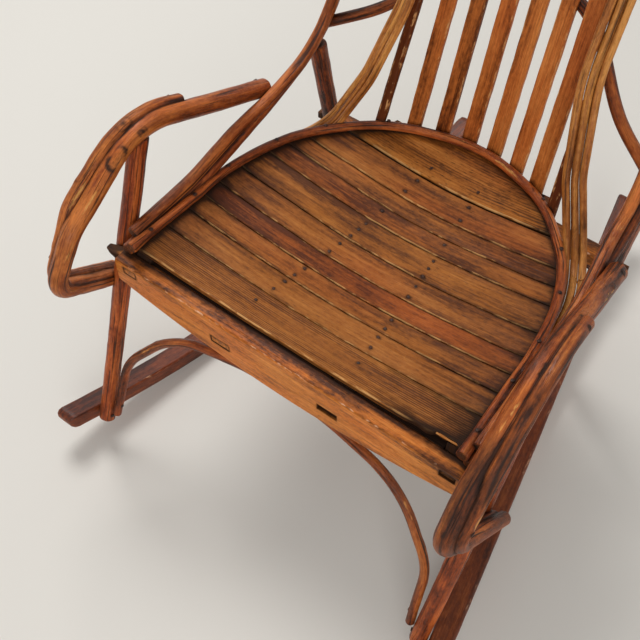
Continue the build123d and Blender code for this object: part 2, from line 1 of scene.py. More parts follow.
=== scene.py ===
"""Looks of a bentwood hickory rocking chair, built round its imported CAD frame.

Paths and sizes are in millimetres, as in the part's source, and turn into metres when a mesh is made.
Right is +X and the front is towards -Y.
"""
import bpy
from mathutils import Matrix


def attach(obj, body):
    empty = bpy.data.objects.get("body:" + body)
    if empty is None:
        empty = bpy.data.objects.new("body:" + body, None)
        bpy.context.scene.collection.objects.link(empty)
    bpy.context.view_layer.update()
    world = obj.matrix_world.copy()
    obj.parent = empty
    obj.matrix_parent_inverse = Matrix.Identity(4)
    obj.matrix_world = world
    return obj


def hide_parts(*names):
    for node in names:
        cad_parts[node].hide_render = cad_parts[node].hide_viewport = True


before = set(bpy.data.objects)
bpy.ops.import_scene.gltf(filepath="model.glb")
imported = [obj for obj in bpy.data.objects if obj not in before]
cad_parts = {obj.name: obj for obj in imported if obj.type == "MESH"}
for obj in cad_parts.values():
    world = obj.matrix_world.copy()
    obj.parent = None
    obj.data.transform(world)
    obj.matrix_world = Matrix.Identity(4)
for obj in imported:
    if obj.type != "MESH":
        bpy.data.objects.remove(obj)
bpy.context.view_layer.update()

from copy import copy
from math import atan, cos, pi, radians, sin, tan

import bpy
import numpy as np
from mathutils import Matrix, Vector
from mathutils.bvhtree import BVHTree

MM = 0.001

# ---- sizes
# As in the part's source, apart from what is marked as moved, dressed or worn.
SIDES = (("right", 1), ("left", -1))
ROCKER_LENGTH, ROCKER_RADIUS, ROCKER_LOW_Y = 880, 1485, -48
ROCKER_WIDTH, ROCKER_HEIGHT, ROCKER_NOSE = 32, 28, 12
ROCKER_FRONT_X, ROCKER_REAR_X = 322, 158
FRONT_LEG, FRONT_LEG_R = ((283, -391, 50), (285, -221.2, 502)), 12.5  # its top is moved
RAIL_TOP_Z, RAIL_FRONT_Y, RAIL_THICKNESS, RAIL_HALF_LENGTH = 368, -316, 23, 268
RAIL_HEIGHT_MIDDLE, RAIL_HEIGHT_END = 74, 42
TONGUE = (302, 15, 20, -298.5, 356)  # tip x, thickness, height, middle y and z
TONGUE_START_X, TONGUE_CUT_BACK = 255, 5
TONGUE_WORN = (7, 8, 0.45)  # how far its tip is worn down and up, and the share of its thickness lost
# a ledge behind the rail, in parts between and beside the bearers, painted dark as the shade in the gap
# under the first slat
SHADE_LEDGE_PARTS = ((-265, -251), (-223, -99), (-64, 64), (99, 223), (251, 265))
SHADE_LEDGE_DEPTH, SHADE_LEDGE_HEIGHT, SHADE_LEDGE_DOWN = 24, 12, 2
SEAT_FRONT_Y, SEAT_HALF_WIDTH, SEAT_EDGE_Z, SEAT_EDGE_SLOPE = -290, 240, 386, -0.076
SEAT_TAPER, SEAT_SIDE_Y, SEAT_SIDE_R, SEAT_SIDE_TURN = 0.033, -170, 459, radians(31.8)
SLAT_THICKNESS, SLAT_GAP, SLAT_LAST_GAP = 9, 1.6, 6
SLAT_PITCHES = (51, 41, 33, 33, 43, 48, 32, 29, 46)
SAG_FRONT, SAG_MIDDLE, SAG_BACK, SAG_LEAST_HALF = 10, 31, 0.4, 130
SLAT_END_INSET, FIRST_SLAT_FORWARD, LAST_SLAT_SHORTER = 5, 3, 1.5
# where the first slat's front edge is split away: start, full, closing, end; its depth, a chip beside it
# and the sliver left in the gap
SPLIT_X, SPLIT_DEPTH, CHIP_X, SLIVER_X = (191, 199, 224, 227), 5.2, 176, (195, 226.5)
SEAT_HOOP_R, SEAT_HOOP_INSET, SEAT_HOOP_BITE, SEAT_HOOP_FORWARD = 6.5, 8, 2.4, 12
# how much wider each side is here than in the solids, from front to back, and where that fades in
SPREAD_Y = (-300, -241, -181, -113, -49, 0, 31, 67, 105, 131, 147)
SPREAD_RIGHT = (16, 15, 15, 17, 22, 24, 23, 16, 11, 5, 0)
SPREAD_LEFT = (14, 14, 16, 24, 28, 30, 28, 22, 16, 8, 0)
SPREAD_FROM, SPREAD_FULL, SPREAD_LEAST_HALF = 0.5, 0.92, 100
BEARER_WIDTH, BEARER_FRONT_X, BEARER_REAR_X = (30, 24), (83, 237), (33, 120)
BEARER_REAR_Y, BEARER_REAR_BOTTOM = 138, 303
BEARER_FRONT_BOTTOM, BEARER_BELLY = (312, 338), (300, 312)
TENON_WIDTH, TENON_HEIGHT, TENON_Z = (29, 20), 11, (327, 356)
# how deep each tenon's end lies in its slot and how far it is moved, by bearer and side
TENON_SUNK = {(0, 1): 6.5, (0, -1): 0.6, (1, 1): 2.5, (1, -1): 0.15}
TENON_SHIFT = {(0, 1): -11, (0, -1): -8, (1, 1): 0, (1, -1): 0}
SLOT_DEPTH = 9
REAR_RAIL = (231, 121, 300, 26, 22)  # half length, middle y and z, depth, height
REAR_TONGUE, REAR_TONGUE_TIP_X = 12, 262
REAR_LEG, REAR_LEG_R = ((184.5, 141, 16), (240, 121, 300), (251, 100, 452)), 13
STRETCHER_R, STRETCHER_Y, STRETCHER_OVERHANG, STRETCHER_BITE = 5, (292, 326), 6, 1
ARM_R, OUTER_ARM_R = 13, 9
ARM_PATH = ((272.5, 6, 426), (285, -226, 526), (285, -356, 445), (287, -402, 376),
            (303.5, -296, 286))
ARM_BENDS = (112, 60, 30)
OUTER_ARM_PATH = ((291, -139, 498), (296, -227, 538), (301, -337, 467),
                  (299.5, -394, 378), (313, -289, 292))
OUTER_ARM_BENDS = (122, 60, 24)
BACK_START_Y, BACK_START_Z, BACK_LEAN = 71, 368, 0.374
HOOP_R, HOOP_STEP, HOOP_ACROSS, HOOP_SET_BACK = 8.4, 17.1, (-0.52, 0, 0.854), 7
HOOP_START_Y = (-302, -286)  # rear and front hoop
# the front hoop is moved out and up beside the seat, up to a place and growing over a length
HOOP_OUT, HOOP_UP, HOOP_MOVED_Y, HOOP_MOVE_GROWS = 10, 2.4, 60, 150
HOOP_SEAT_PATH = ((259, -311, 376), (257, -165, 382), (256.5, -14, 411))  # moved
HOOP_BACK_PATH = ((254.5, 452), (206, 800), (191, 905), (95, 1012))
HOOP_BENDS = (250, 300, 125, 400, 200, 175)
STRAND_R, STRAND_STEP = 5.25, 10.85
STRAND_SEAT_PATH = ((253.5, -158, 363), (235, -8, 346), (205, 62, 340))  # lowered
STRAND_BACK_PATH = ((161, 440), (133, 556), (129, 866), (68, 948))
STRAND_BENDS = (300, 58, 170, 300, 140, 100)
BOW_PATH, BOW_BENDS, BOW_R = ((251, 113), (178, 147), (78, 230)), (220, 160), 8
BOW_START_Y, BOW_START_Z, BOW_TILT = 75, 440, 1.03
ARCH_PATH = ((264.3, 70), (256, 172), (183, 262), (58, 288))
ARCH_BENDS, ARCH_R, ARCH_TOP_Y, ARCH_LEAN = (95, 150, 300), 6.5, -304, 0.37
BACK_SLAT_X, BACK_SLAT_TOP_X = (20.5, 61.5, 102, 143), (19, 55, 86, 110)
BACK_SLAT_WIDTH, BACK_SLAT_THICKNESS = (23, 22, 22, 15), (8, 8, 8, 11)
BACK_SLAT_MEET_Z, BACK_SLAT_BITE = (958, 952, 932, 905), 0.8
BACK_SLAT_FOOT_Z, BACK_SLAT_TOP_Z, BACK_SLAT_RUN = 326, 970, 640
CROWN, CROWN_BENDS = ((150, 300), (150, 874), (78, 967)), (150, 115)

# ---- worked-out places
taper_angle = atan(SEAT_TAPER)
corner_angle = taper_angle + SEAT_SIDE_TURN
side_x = SEAT_HALF_WIDTH - SEAT_TAPER * (SEAT_SIDE_Y - SEAT_FRONT_Y)
flank_x = side_x - SEAT_SIDE_R * cos(taper_angle)
flank_y = SEAT_SIDE_Y - SEAT_SIDE_R * sin(taper_angle)
corner_y = flank_y + SEAT_SIDE_R * sin(corner_angle)
back_radius = (flank_x + SEAT_SIDE_R * cos(corner_angle)) / cos(corner_angle)
back_centre_y = corner_y - back_radius * sin(corner_angle)
seat_back_y = back_centre_y + back_radius
rail_back_y = RAIL_FRONT_Y + RAIL_THICKNESS


def rocker_x(y):
    return ROCKER_FRONT_X + (ROCKER_REAR_X - ROCKER_FRONT_X) * (y + ROCKER_LENGTH / 2) / ROCKER_LENGTH


def rocker_under_z(y):
    return ROCKER_RADIUS - np.sqrt(ROCKER_RADIUS**2 - (y - ROCKER_LOW_Y) ** 2)


def seat_half_width(y):
    y = np.asarray(y, float)
    flank = flank_x + np.sqrt(np.maximum(SEAT_SIDE_R**2 - (y - flank_y) ** 2, 0))
    back = np.sqrt(np.maximum(back_radius**2 - (y - back_centre_y) ** 2, 0))
    side = SEAT_HALF_WIDTH - SEAT_TAPER * (y - SEAT_FRONT_Y)
    return np.where(y <= SEAT_SIDE_Y, side, np.where(y <= corner_y, flank, back))


def seat_rear_y(x):
    return back_centre_y + np.sqrt(back_radius**2 - np.asarray(x, float) ** 2)


def seat_edge_z(y):
    return SEAT_EDGE_Z + SEAT_EDGE_SLOPE * (y - SEAT_FRONT_Y)


def seat_top_z(x, y):
    t = (y - SEAT_FRONT_Y) / (seat_back_y - SEAT_FRONT_Y)
    sag = SAG_FRONT * (1 - t) * (1 - 2 * t) + 4 * SAG_MIDDLE * t * (1 - t) + SAG_BACK * t * (2 * t - 1)
    return seat_edge_z(y) - sag * (1 - (x / np.maximum(seat_half_width(y), SAG_LEAST_HALF)) ** 2)


def spread(x, y):
    """The seat's sides as wide as the photograph shows them, out to the outer hoops."""
    x, y = np.broadcast_arrays(np.asarray(x, float), y)
    out = np.where(x > 0, np.interp(y, SPREAD_Y, SPREAD_RIGHT), np.interp(y, SPREAD_Y, SPREAD_LEFT))
    share = abs(x) / np.maximum(seat_half_width(y), SPREAD_LEAST_HALF)
    return x + np.sign(x) * out * fade(share, SPREAD_FROM, SPREAD_FULL)


def back_plane_y(z):
    return BACK_START_Y + BACK_LEAN * (z - BACK_START_Z)


def bearer_x(number, y):
    along = (y - rail_back_y) / (BEARER_REAR_Y - rail_back_y)
    return BEARER_FRONT_X[number] + (BEARER_REAR_X[number] - BEARER_FRONT_X[number]) * along


def arc_through(a, b, c):
    """The height of the flat arc through three points, as a function of the place along it."""
    a, b, c = (complex(*p) for p in (a, b, c))
    w = (c - a) / (b - a)
    centre = (b - a) * (w - abs(w) ** 2) / (2j * w.imag) + a
    radius, sign = abs(a - centre), 1 if b.imag > centre.imag else -1
    return lambda y: centre.imag + sign * np.sqrt(radius**2 - (y - centre.real) ** 2)


# ---- paths
def both_ways(half, bends):
    """A whole path and its bends from their right half."""
    return [tuple(p) for p in half] + [(-x, y, z) for x, y, z in reversed(half)], bends + bends[::-1]


def mirrored(path, sign):
    return [(sign * x, y, z) for x, y, z in path]


def alongside(points, bends, across, step):
    """The path of a rod that lies beside another one at the same distance all the way."""
    corners = [Vector(p) for p in points]
    runs = [(b - a).normalized() for a, b in zip(corners, corners[1:])]
    side = Vector(across)
    side = (side - runs[0] * side.dot(runs[0])).normalized()
    moved, radii = [corners[0] + side * step], []
    for before, after, corner, bend in zip(runs, runs[1:], corners[1:], bends):
        axis = before.cross(after).normalized()
        inward, turned = axis.cross(before), axis.cross(after)
        level, depth = side.dot(axis), side.dot(inward)
        mitre = (inward + turned) * (1 / (1 + inward.dot(turned)))
        moved.append(corner + (axis * level + mitre * depth) * step)
        radii.append(bend - depth * step)
        side = axis * level + turned * depth
    moved.append(corners[-1] + side * step)
    return [tuple(p) for p in moved], radii


def lengths(line):
    """How far along the line each of its points is."""
    return np.concatenate([[0], np.cumsum(np.linalg.norm(np.diff(line, axis=0), axis=1))])


def places_at(line, at):
    length = lengths(line)
    return np.stack([np.interp(at, length, line[:, k]) for k in range(3)], axis=1)


def evenly(line, step):
    """The same line with its points a step apart."""
    line = np.array(line, float)
    total = lengths(line)[-1]
    return places_at(line, np.linspace(0, total, max(int(round(total / step)), 8) + 1))


def bent_line(points, bends, step=4):
    """The middle of a bent rod: straight runs joined by tangent bends."""
    corners = [Vector(p) for p in points]
    line = [corners[0]]
    for before, corner, after, bend in zip(corners, corners[1:], corners[2:], bends):
        a, b = (before - corner).normalized(), (after - corner).normalized()
        half = a.angle(b) / 2
        centre = corner + (a + b).normalized() * (bend / sin(half))
        start, end = (corner + v * (bend / tan(half)) - centre for v in (a, b))
        turn = start.angle(end)
        parts = max(int(turn / 0.03), 2)
        for k in range(parts + 1):
            t = k / parts
            line.append(centre + (start * sin((1 - t) * turn) + end * sin(t * turn)) / sin(turn))
    return evenly(line + [corners[-1]], step)


# ---- irregularity
def lumps(x, y, z, seed=0):
    """Smooth noise from -1 to 1 at many places at once, the same every run."""
    places = np.stack(np.broadcast_arrays(x, y, z), -1).astype(float)
    cell = np.floor(places).astype(np.int64)
    part = places - cell
    part = part * part * (3 - 2 * part)
    total = np.zeros(places.shape[:-1])
    for corner in range(8):
        step = np.array([corner & 1, corner >> 1 & 1, corner >> 2])
        key = (cell + step) @ np.array([73856093, 19349663, 83492791]) + seed * 40503
        key = (key ^ (key >> 13)) * 1274126177 & 0x7FFFFFFF
        value = (key >> 7 & 0xFFFF) / 32767.5 - 1
        total += value * np.prod(np.where(step, part, 1 - part), axis=-1)
    return total


def fade(value, low, high):
    """0 up to the low place, 1 from the high one."""
    t = np.clip((value - low) / (high - low), 0, 1)
    return t * t * (3 - 2 * t)


def bell(x):
    return np.exp(-x * x)


def flat_bell(x):
    return np.exp(-x**4)


# ---- skins: grids of closed rings
class Skin:
    """Points, faces and what is painted on them. grain is the place along and across the wood in mm,
    paint is (bare wood, grime, tone) and hue runs from yellow to red."""

    def __init__(self, rings, grain, paint, hue):
        n, m, _ = rings.shape
        self.points = rings.reshape(-1, 3)
        self.grain, self.paint = grain.reshape(-1, 3), paint.reshape(-1, 3)
        self.hue = np.broadcast_to(hue, (n, m)).reshape(-1).astype(float)
        k = np.arange(n * m).reshape(n, m)
        a, b = k[:-1], k[1:]
        quads = np.stack([a, np.roll(a, -1, 1), np.roll(b, -1, 1), b], axis=-1).reshape(-1, 4)
        self.faces = quads.tolist() + [k[0][::-1].tolist(), k[-1].tolist()]
        corners = self.points[quads]
        normals = np.cross(corners[:, 2] - corners[:, 0], corners[:, 3] - corners[:, 1])
        ring_middle = rings.mean(axis=1)[:-1].repeat(m, axis=0)
        if ((corners.mean(axis=1) - ring_middle) * normals).sum() < 0:
            self.faces = [f[::-1] for f in self.faces]


LAYERS = (("grain", "FLOAT_VECTOR", "vector", MM), ("paint", "FLOAT_VECTOR", "vector", 1),
          ("hue", "FLOAT", "value", 1))
pieces = []


def new_object(name, data):
    made = bpy.data.objects.new(name, data)
    bpy.context.scene.collection.objects.link(made)
    return made


def new_mesh(name, points, faces):
    """A mesh object in the scene, its points in metres."""
    mesh = bpy.data.meshes.new(name)
    mesh.from_pydata(points, [], faces)
    return new_object(name, mesh)


def points_of(mesh):
    """A mesh's points in millimetres."""
    return np.array([v.co for v in mesh.vertices]) / MM


def faces_of(mesh):
    return [list(p.vertices) for p in mesh.polygons]


def make(node, skins, slot, material):
    """One piece from its skins, standing for a CAD node."""
    points = np.concatenate([s.points for s in skins]) * MM
    faces, base = [], 0
    for s in skins:
        faces += [[i + base for i in f] for f in s.faces]
        base += len(s.points)
    piece = new_mesh(node + "_aged", points.tolist(), faces)
    mesh = piece.data
    for name, kind, key, unit in LAYERS:
        values = np.concatenate([getattr(s, name) for s in skins]) * unit
        mesh.attributes.new(name, kind, "POINT").data.foreach_set(key, values.astype(np.float32).ravel())
    mesh.materials.append(material)
    mesh.polygons.foreach_set("use_smooth", [True] * len(mesh.polygons))
    mesh.set_sharp_from_angle(angle=radians(50))
    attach(piece, "root")
    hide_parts(node)
    pieces.append(piece)


def on_side(skin, sign):
    """The skin itself for the right side, and its mirror image with other grain for the left."""
    if sign > 0:
        return skin
    twin = copy(skin)
    twin.points = skin.points * [-1, 1, 1]
    twin.grain, twin.paint = skin.grain + [700, 90, 40], skin.paint.copy()
    twin.faces = [f[::-1] for f in skin.faces]
    return twin


# ---- rods
END_STEPS, END_SHARES = np.array([0, 0.5, 1.6]), [0.87, 0.955, 1]  # a rod's rounded end
CAP_RINGS = ((0.62, 0.25), (0.2, 0.1))  # share of the radius and depth of the rings in a sawn end
# what each rod gets at random: kind, about how far apart, least and greatest length
RANDOM_MARKS = (("knot", 150, 3, 5.5), ("split", 210, 26, 75), ("worn", 190, 14, 40), ("stain", 120, 4, 12))


def rod(line, radius, seed, tone=0, hue=0, marks=(), knots=1, splits=1, worn=1, taper=0,
        wander=0.8, swell=0):
    """A bent sapling: knots, splits, flutes with painted shade in their hollows, rubbed patches and sawn
    ends.

    A mark is (kind, place, length, width, amount), with the place in mm near the rod's surface.
    knots, splits and worn say how many it gets at random, where 1 is usual."""
    rng = np.random.default_rng(seed)
    length = lengths(line)
    total = length[-1]
    inner = length[(length > 3) & (length < total - 3)]
    at = np.concatenate([END_STEPS, inner, total - END_STEPS[::-1]])
    middle = places_at(line, at)
    tangent = np.gradient(middle, at, axis=0)
    tangent /= np.linalg.norm(tangent, axis=1, keepdims=True)
    normal = np.empty_like(tangent)
    guess = np.array([0.3, 0.2, 1]) if abs(tangent[0, 2]) < 0.8 else np.array([1, 0.2, 0.1])
    for k, t in enumerate(tangent):
        guess = guess - t * (guess @ t)
        guess /= np.linalg.norm(guess)
        normal[k] = guess
    binormal = np.cross(tangent, normal)
    shift = np.stack([lumps(at / 110, k, seed, k) for k in (1, 2)], 1)
    calm = fade(at, 0, 60) * fade(total - at, 0, 60) * wander
    middle = middle + normal * (shift[:, :1] * calm[:, None]) + binormal * (shift[:, 1:] * calm[:, None])

    around = max(16, int(radius * 2.4))
    turn = np.arange(around) * 2 * pi / around
    s, a = np.meshgrid(at, turn, indexing="ij")
    round_x, round_y = np.cos(a), np.sin(a)

    def field(step, wrap, number):
        return lumps(s / step, round_x * wrap + 7, round_y * wrap + 3, seed * 31 + number)

    flute = 0.7 * field(150, 2.6, 3) + 0.4 * field(80, 5, 7)
    bulk = min(radius / 9, 1.25)
    size = radius * (1 + taper * (0.5 - s / total)) * (1 + 0.035 * field(55, 0.8, 1))
    size += (0.25 * field(14, 2.2, 2) + 0.45 * flute) * bulk
    size *= 1 + swell * (bell(s / 22) + bell((total - s) / 22))
    wear_and_highlight = np.zeros_like(s)
    # painted shade in the hollows of the flutes, and a lighter tone on their ridges
    grime_and_shade = 0.45 * np.clip(-flute - 0.25, 0, 1)
    shade = 0.45 * field(75, 1.3, 4) + 0.3 * field(22, 2, 5) + 0.35 * flute + tone
    reds = hue + 0.35 * field(130, 1.1, 6)

    found = []
    for kind, place, long, wide, amount in marks:
        place = np.array(place, float)
        near = np.argmin(np.linalg.norm(middle - place, axis=1))
        out = place - middle[near]
        angle = np.arctan2(out @ binormal[near], out @ normal[near])
        found.append((kind, at[near], angle, long, wide, amount))
    often = {"knot": knots, "split": splits, "worn": worn, "stain": 1}
    for kind, spacing, low, high in RANDOM_MARKS:
        for _ in range(int(total / (spacing / often[kind]))):
            place, angle, long = rng.uniform(12, total - 12), rng.uniform(-pi, pi), rng.uniform(low, high)
            wide = {"knot": long * 0.8, "split": 0.75, "worn": radius * 0.3, "stain": long * 0.4}[kind]
            amount = rng.uniform(0.5, 0.95) * (0.55 if kind == "worn" else 1)
            found.append((kind, place, angle, long, min(wide, radius * 0.8), amount))
    for kind, place, angle, long, wide, amount in found:
        u = (s - place) / long
        v = ((a - angle + pi) % (2 * pi) - pi) * radius / wide
        far = np.sqrt(u * u + v * v)
        if kind == "knot":
            size += amount * (1.25 * bell(far) - 0.75 * bell(far * 2.6)) * min(radius / 9, 1.3)
            grime_and_shade += amount * (0.85 * bell(far * 1.9) + 0.5 * bell((far - 1.15) * 4))
        elif kind == "scar":
            size += amount * (2.2 * flat_bell(far) - 1.5 * flat_bell(far * 2))
            rim = 0.6 * bell((far - 1) * 4) * (1 + 0.8 * np.sin(2 * np.arctan2(v, u) + 1))
            grime_and_shade += amount * (rim + 0.35 * bell((far - 0.5) * 6) + 0.5 * bell(far * 4))
            shade += 0.5 * amount * flat_bell(far)
        elif kind == "split":
            groove = bell(v + 0.6 * np.sin(u * 2.1 + angle)) * flat_bell(u)
            size -= 0.7 * amount * groove
            grime_and_shade += 1.1 * amount * groove
        elif kind == "worn":
            wear_and_highlight += amount * flat_bell(far)
            size -= 0.25 * amount * flat_bell(far)
        else:
            grime_and_shade += 0.7 * amount * bell(far)
    ends = np.interp(np.minimum(at, total - at), END_STEPS, END_SHARES)
    size = size * ends[:, None]
    out = normal[:, None] * round_x[..., None] + binormal[:, None] * round_y[..., None]
    rings = middle[:, None] + out * size[..., None]
    grain = np.stack([s, size * round_x, size * round_y], -1) + [seed * 137, seed * 41, 0]
    paint = np.stack([wear_and_highlight, grime_and_shade, shade], -1)
    for end, sign in ((0, -1), (-1, 1)):  # sawn ends, rough and grey
        rough = 0.35 * lumps(*(rings[end] * 0.4).T, seed)[:, None]
        caps = [middle[end] + (rings[end] - middle[end]) * share + tangent[end] * sign * (rough - deep)
                for share, deep in CAP_RINGS]
        along = [grain[end] * [1, share, share] for share, _ in CAP_RINGS]
        extra = [np.stack(caps), np.stack(along), np.tile([0.25, 0.45, -0.1], (2, around, 1)),
                 np.full((2, around), -0.3)]
        layers = zip([rings, grain, paint, reds], extra)
        if end == 0:
            rings, grain, paint, reds = (np.concatenate([e[::-1], k]) for k, e in layers)
        else:
            rings, grain, paint, reds = (np.concatenate([k, e]) for k, e in layers)
    return Skin(rings, grain, paint, reds)


# ---- boards
ROUND = 3  # steps round each bevel


def section(across, deep):
    """Points round a board's section: share of width and depth, bevels in and down, which arris or -1."""
    loop = []
    for corner, (fv, fw) in enumerate(((0, 0), (1, 0), (1, 1), (0, 1))):
        for k in range(ROUND + 1):
            angle = pi / 2 * k / ROUND
            a, b = 1 - cos(angle), 1 - sin(angle)
            loop.append((fv, fw, *((a, b), (-b, a), (-a, -b), (b, -a))[corner], corner))
        parts = across if corner % 2 == 0 else deep
        for k in range(1, parts + 1):
            f = (1 - cos(pi * k / (parts + 1))) / 2
            g = 1 - 2 * f
            loop.append((*((f, 0, g, 0), (1, f, 0, g), (1 - f, 1, -g, 0), (0, 1 - f, 0, -g))[corner], -1))
    return np.array(loop)


BOARD_SECTION, RAIL_SECTION = section(13, 2), section(9, 16)


def stations(start, end, step, radius):
    """Places along a board, close together at its ends, with how far its rounded ends draw in."""
    angle = np.linspace(0, pi / 2, 4)
    down, draw = radius * (1 - np.cos(angle)), radius * (1 - np.sin(angle))
    inner = np.linspace(start + radius, end - radius, int((end - start) / step) + 2)[1:-1]
    at = np.concatenate([start + down, inner, (end - down)[::-1]])
    return at, np.concatenate([draw, inner * 0, draw[::-1]])


def board(along, v0, v1, w0, w1, place, bevel, seed, tone=0, hue=0, arris=(0.9, 0.45, 0.2, 0.2),
          edge=0.45, side=0.5, end=0.5, wobble=0.3, drawn=1, loop=BOARD_SECTION):
    """A board swept along its stations: v runs across it from front to back and w down from its top.
    Its top is painted with shade near its long edges and its front and back faces with shade; its arrises
    get wear and painted highlights, and it is darker near its ends.
    """
    at, inset = (q.reshape(-1, 1) for q in along)
    n = len(at)
    v0, v1, w0, w1 = (np.broadcast_to(np.asarray(q, float).reshape(-1, 1), (n, 1)) for q in (v0, v1, w0, w1))
    v0, v1, w0, w1 = v0 + inset * drawn, v1 - inset * drawn, w0 + inset, w1 - inset
    fv, fw, cv, cw, corner = loop.T
    bevel = np.minimum(bevel, np.minimum(v1 - v0, w1 - w0) * 0.45)
    v, w = v0 + (v1 - v0) * fv + bevel * cv, w0 + (w1 - w0) * fw + bevel * cw
    s = np.broadcast_to(at, v.shape)

    def field(step, wide, number):
        return lumps(s / step, v / wide + 5, w / wide + 9, seed * 17 + number)

    v = v + wobble * lumps(s / 19, fv, seed, 3) * (1 - 2 * fv)
    rings = place(s, v, w)
    near = np.minimum(v - v0, v1 - v)
    wear_and_highlight = np.zeros_like(s)
    # wear and painted highlights along the arrises
    for k, amount in enumerate(arris):
        rubbed = lumps(s / 7, k, seed, 11) * 0.5 + 0.5 * lumps(s / 31, k, seed, 12)
        wear_and_highlight += np.where(corner == k, amount * (0.75 + 0.8 * rubbed), 0)
    top = (fw == 0) & (corner < 0)
    # painted shade near the long edges of the top and on the front and back faces; darker near the ends
    grime_and_shade = np.where(top, edge * np.exp(-near / 3.2) + 0.22 * np.maximum(field(26, 9, 1), 0), 0)
    grime_and_shade = grime_and_shade + np.where((fv == 0) | (fv == 1), np.where(corner < 0, side, side * 0.35), 0)
    span = np.minimum(s - at.min(), at.max() - s)
    grime_and_shade = grime_and_shade + end * np.exp(-span / 9)
    shade = tone + 0.3 * field(90, 22, 2) + 0.16 * field(18, 8, 3)
    reds = hue + 0.3 * field(120, 30, 4)
    grain = np.stack([s, v, w], -1) + [seed * 211, seed * 37, seed * 5]
    return Skin(rings, grain, np.stack([wear_and_highlight, grime_and_shade, shade], -1), reds)


def straight(top):
    """Where a straight board along X lies, from the height of its top."""
    return lambda s, v, w: np.stack([s, v, top - w], -1)


# ---- materials
def srgb(*colour):
    """A colour written as it is seen, 0 to 255, as the linear one that shaders take."""
    return tuple(((c / 255 + 0.055) / 1.055) ** 2.4 if c > 10 else c / 255 / 12.92 for c in colour) + (1,)


class Nodes:
    """Short names for the nodes that a material, or the world, is built from."""

    def __init__(self, owner, shader="Principled BSDF"):
        owner.use_nodes = True
        self.owner, self.tree = owner, owner.node_tree
        self.shader = self.tree.nodes[shader]

    def node(self, kind, inputs=(), **settings):
        made = self.tree.nodes.new("ShaderNode" + kind)
        for key, value in settings.items():
            setattr(made, key, value)
        self.feed(made, dict(inputs))
        return made

    def feed(self, node, inputs):
        """Gives each input of a node a constant, or the output of another node."""
        for key, value in inputs.items():
            if isinstance(value, bpy.types.NodeSocket):
                self.tree.links.new(value, node.inputs[key])
            else:
                node.inputs[key].default_value = value

    def set(self, inputs):
        self.feed(self.shader, inputs)

    def sums(self, operation, a, b=0, c=0, clamp=False):
        return self.node("Math", {0: a, 1: b, 2: c}, operation=operation, use_clamp=clamp).outputs[0]

    def times(self, a, b):
        return self.sums("MULTIPLY", a, b)

    def times_plus(self, a, b, c, clamp=False):
        return self.sums("MULTIPLY_ADD", a, b, c, clamp)

    def sway(self, value, by, onto, clamp=False):
        """Moves a value up and down by how far another one, from 0 to 1, is from its middle."""
        return self.times_plus(self.sums("SUBTRACT", value, 0.5), by, onto, clamp)

    def attribute(self, name, output="Vector"):
        return self.node("Attribute", attribute_name=name).outputs[output]

    def grain_noise(self, along, across, detail=2, rough=0.55, warp=0, shift=0):
        """Noise stretched along the wood, at so many cells to the metre."""
        stretched = {0: self.grain, 1: (along, across, across), 2: (shift, shift, shift)}
        place = self.node("VectorMath", stretched, operation="MULTIPLY_ADD").outputs[0]
        settings = {"Vector": place, "Scale": 1, "Detail": detail, "Roughness": rough, "Distortion": warp}
        return self.node("TexNoise", settings).outputs["Fac"]

    def step(self, value, low, high):
        return self.node("MapRange", {"Value": value, "From Min": low, "From Max": high},
                         interpolation_type="SMOOTHSTEP").outputs["Result"]

    def mix(self, share, a, b, blend="MIX"):
        made = self.node("Mix", data_type="RGBA", blend_type=blend)
        self.feed(made, {0: share, 6: a, 7: b})
        return made.outputs[2]

    def ramp(self, value, first, last, between):
        """Three colours along a value from 0 to 1, each with its place."""
        made = self.node("ValToRGB", {"Fac": value})
        stops = made.color_ramp.elements
        for stop, (place, colour) in zip(stops, (first, last)):
            stop.position, stop.color = place, colour
        stops.new(between[0]).color = between[1]
        return made.outputs["Color"]

    def finish(self, colour, rough, height, relief, distance):
        """Joins the results to the shader."""
        bump = self.node("Bump", {"Height": height, "Strength": relief, "Distance": distance})
        self.set({"Base Color": colour, "Roughness": rough, "Normal": bump.outputs[0]})
        return self.owner


GRIME_AND_SHADE_COLOUR, CRACK_COLOUR = (30, 18, 11), (36, 21, 14)
YELLOW_TINT, PLAIN_TINT, RED_TINT = (1, 1, 0.72, 1), (1, 0.95, 0.9, 1), (1, 0.62, 0.5, 1)


